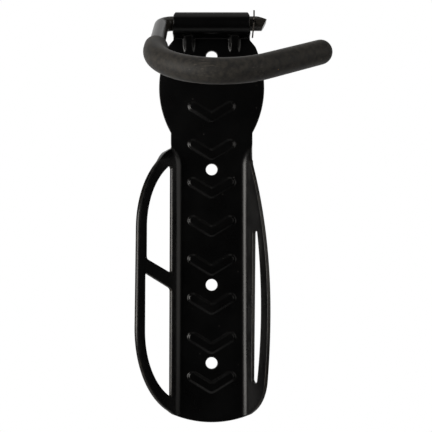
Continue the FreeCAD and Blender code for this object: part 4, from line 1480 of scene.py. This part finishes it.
@dataclass
class Studio:
    """Camera, lamps, floor and surroundings."""

    lens: float = 57.82
    sensor: float = 36.0
    place: tuple = (0.0029, -0.4595, -0.0579)
    pitch: float = 0.05897
    floor_level: float = -0.36
    floor_sides: tuple = (-0.5, 0.5)
    floor_ends: tuple = (-0.22, 0.7)
    floor_pale: float = 0.8
    floor_mirrored: float = 0.7
    floor_glow: float = 0.6
    turns_bright: tuple = (0.32, 0.75)
    dark: float = 0.005
    bright: float = 0.9

    def camera(self) -> None:
        """Place the camera, which looks slightly up along Y."""
        data = bpy.data.cameras.new("camera")
        data.lens = self.lens
        data.sensor_width = self.sensor
        data.clip_start = 0.01
        made = bpy.data.objects.new("camera", data)
        made.location = self.place
        made.rotation_euler = (math.pi / 2 + self.pitch, 0, 0)
        bpy.context.scene.collection.objects.link(made)
        bpy.context.scene.camera = made

    def surroundings(self) -> None:
        """White to the camera; for other rays white behind and dark in front."""
        world = bpy.data.worlds.new("surroundings")
        bpy.context.scene.world = world
        world.use_nodes = True
        tree = Tree(world.node_tree)
        aim = tree.add("ShaderNodeTexCoord").outputs["Generated"]
        split = tree.add("ShaderNodeSeparateXYZ", {0: aim})
        behind = tree.ramp(split.outputs["Y"], *self.turns_bright, self.dark, self.bright)
        rays = tree.add("ShaderNodeLightPath")
        share = tree.math("MAXIMUM", rays.outputs["Is Camera Ray"], behind)
        light = tree.add("ShaderNodeBackground", {"Color": WHITE, "Strength": share})
        tree.add("ShaderNodeOutputWorld", {"Surface": light.outputs[0]})

    def floor(self) -> None:
        """A plain pale floor that glows white to the camera but keeps shadows."""
        x, y = np.meshgrid(self.floor_sides, self.floor_ends)
        points = np.stack([x.ravel(), y.ravel(), np.full(4, self.floor_level)], 1)
        piece = mesh_object("floor", points, [[0, 1, 3, 2]])
        made = bpy.data.materials.new("pale_floor")
        made.use_nodes = True
        tree = Tree(made.node_tree)
        rays = tree.add("ShaderNodeLightPath")
        shade = tree.blend(rays.outputs["Is Glossy Ray"], (*[self.floor_pale] * 3, 1),
                           (*[self.floor_mirrored] * 3, 1))
        lit = tree.add("ShaderNodeBsdfDiffuse", {"Color": shade})
        seen = tree.math("MULTIPLY", rays.outputs["Is Camera Ray"], self.floor_glow)
        glow = tree.add("ShaderNodeEmission", {"Color": WHITE, "Strength": seen})
        both = tree.add("ShaderNodeAddShader", {0: lit.outputs[0], 1: glow.outputs[0]})
        tree.add("ShaderNodeOutputMaterial", {"Surface": both.outputs[0]})
        piece.data.materials.append(made)
        piece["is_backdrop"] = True

    def build(self) -> None:
        """Make the whole studio."""
        self.camera()
        for lamp in LAMPS:
            lamp.build()
        self.surroundings()
        self.floor()
        bpy.context.scene.view_settings.view_transform = "Standard"
        log.info("studio ready")


def corner_lists(box: tuple) -> list:
    """The corners of a box as plain lists."""
    return [list(corner) for corner in box]


def main() -> None:
    """Load the frame, build and dress the pieces, then the studio."""
    logging.basicConfig(level=logging.INFO, format="%(name)s %(message)s")
    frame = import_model()
    before = corner_lists(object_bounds())
    nodes, effects = frame["nodes"], Effects.build()
    Backplate(Body.PLATE, Slot.POWDER_COAT, "backplate").build(COAT.build(effects), before)
    for slot, node, finish in ((Slot.ROD_COAT, "hook_rod", ROD_PAINT),
                               (Slot.SLEEVE_RUBBER, "hook_sleeve", RUBBER),
                               (Slot.PIN_STEEL, "split_pin", PIN_STEEL)):
        PlainNode(Body.HOOK, slot, node).build(nodes[node], finish.build(effects))
    Studio().build()


if __name__ == "__main__":
    main()
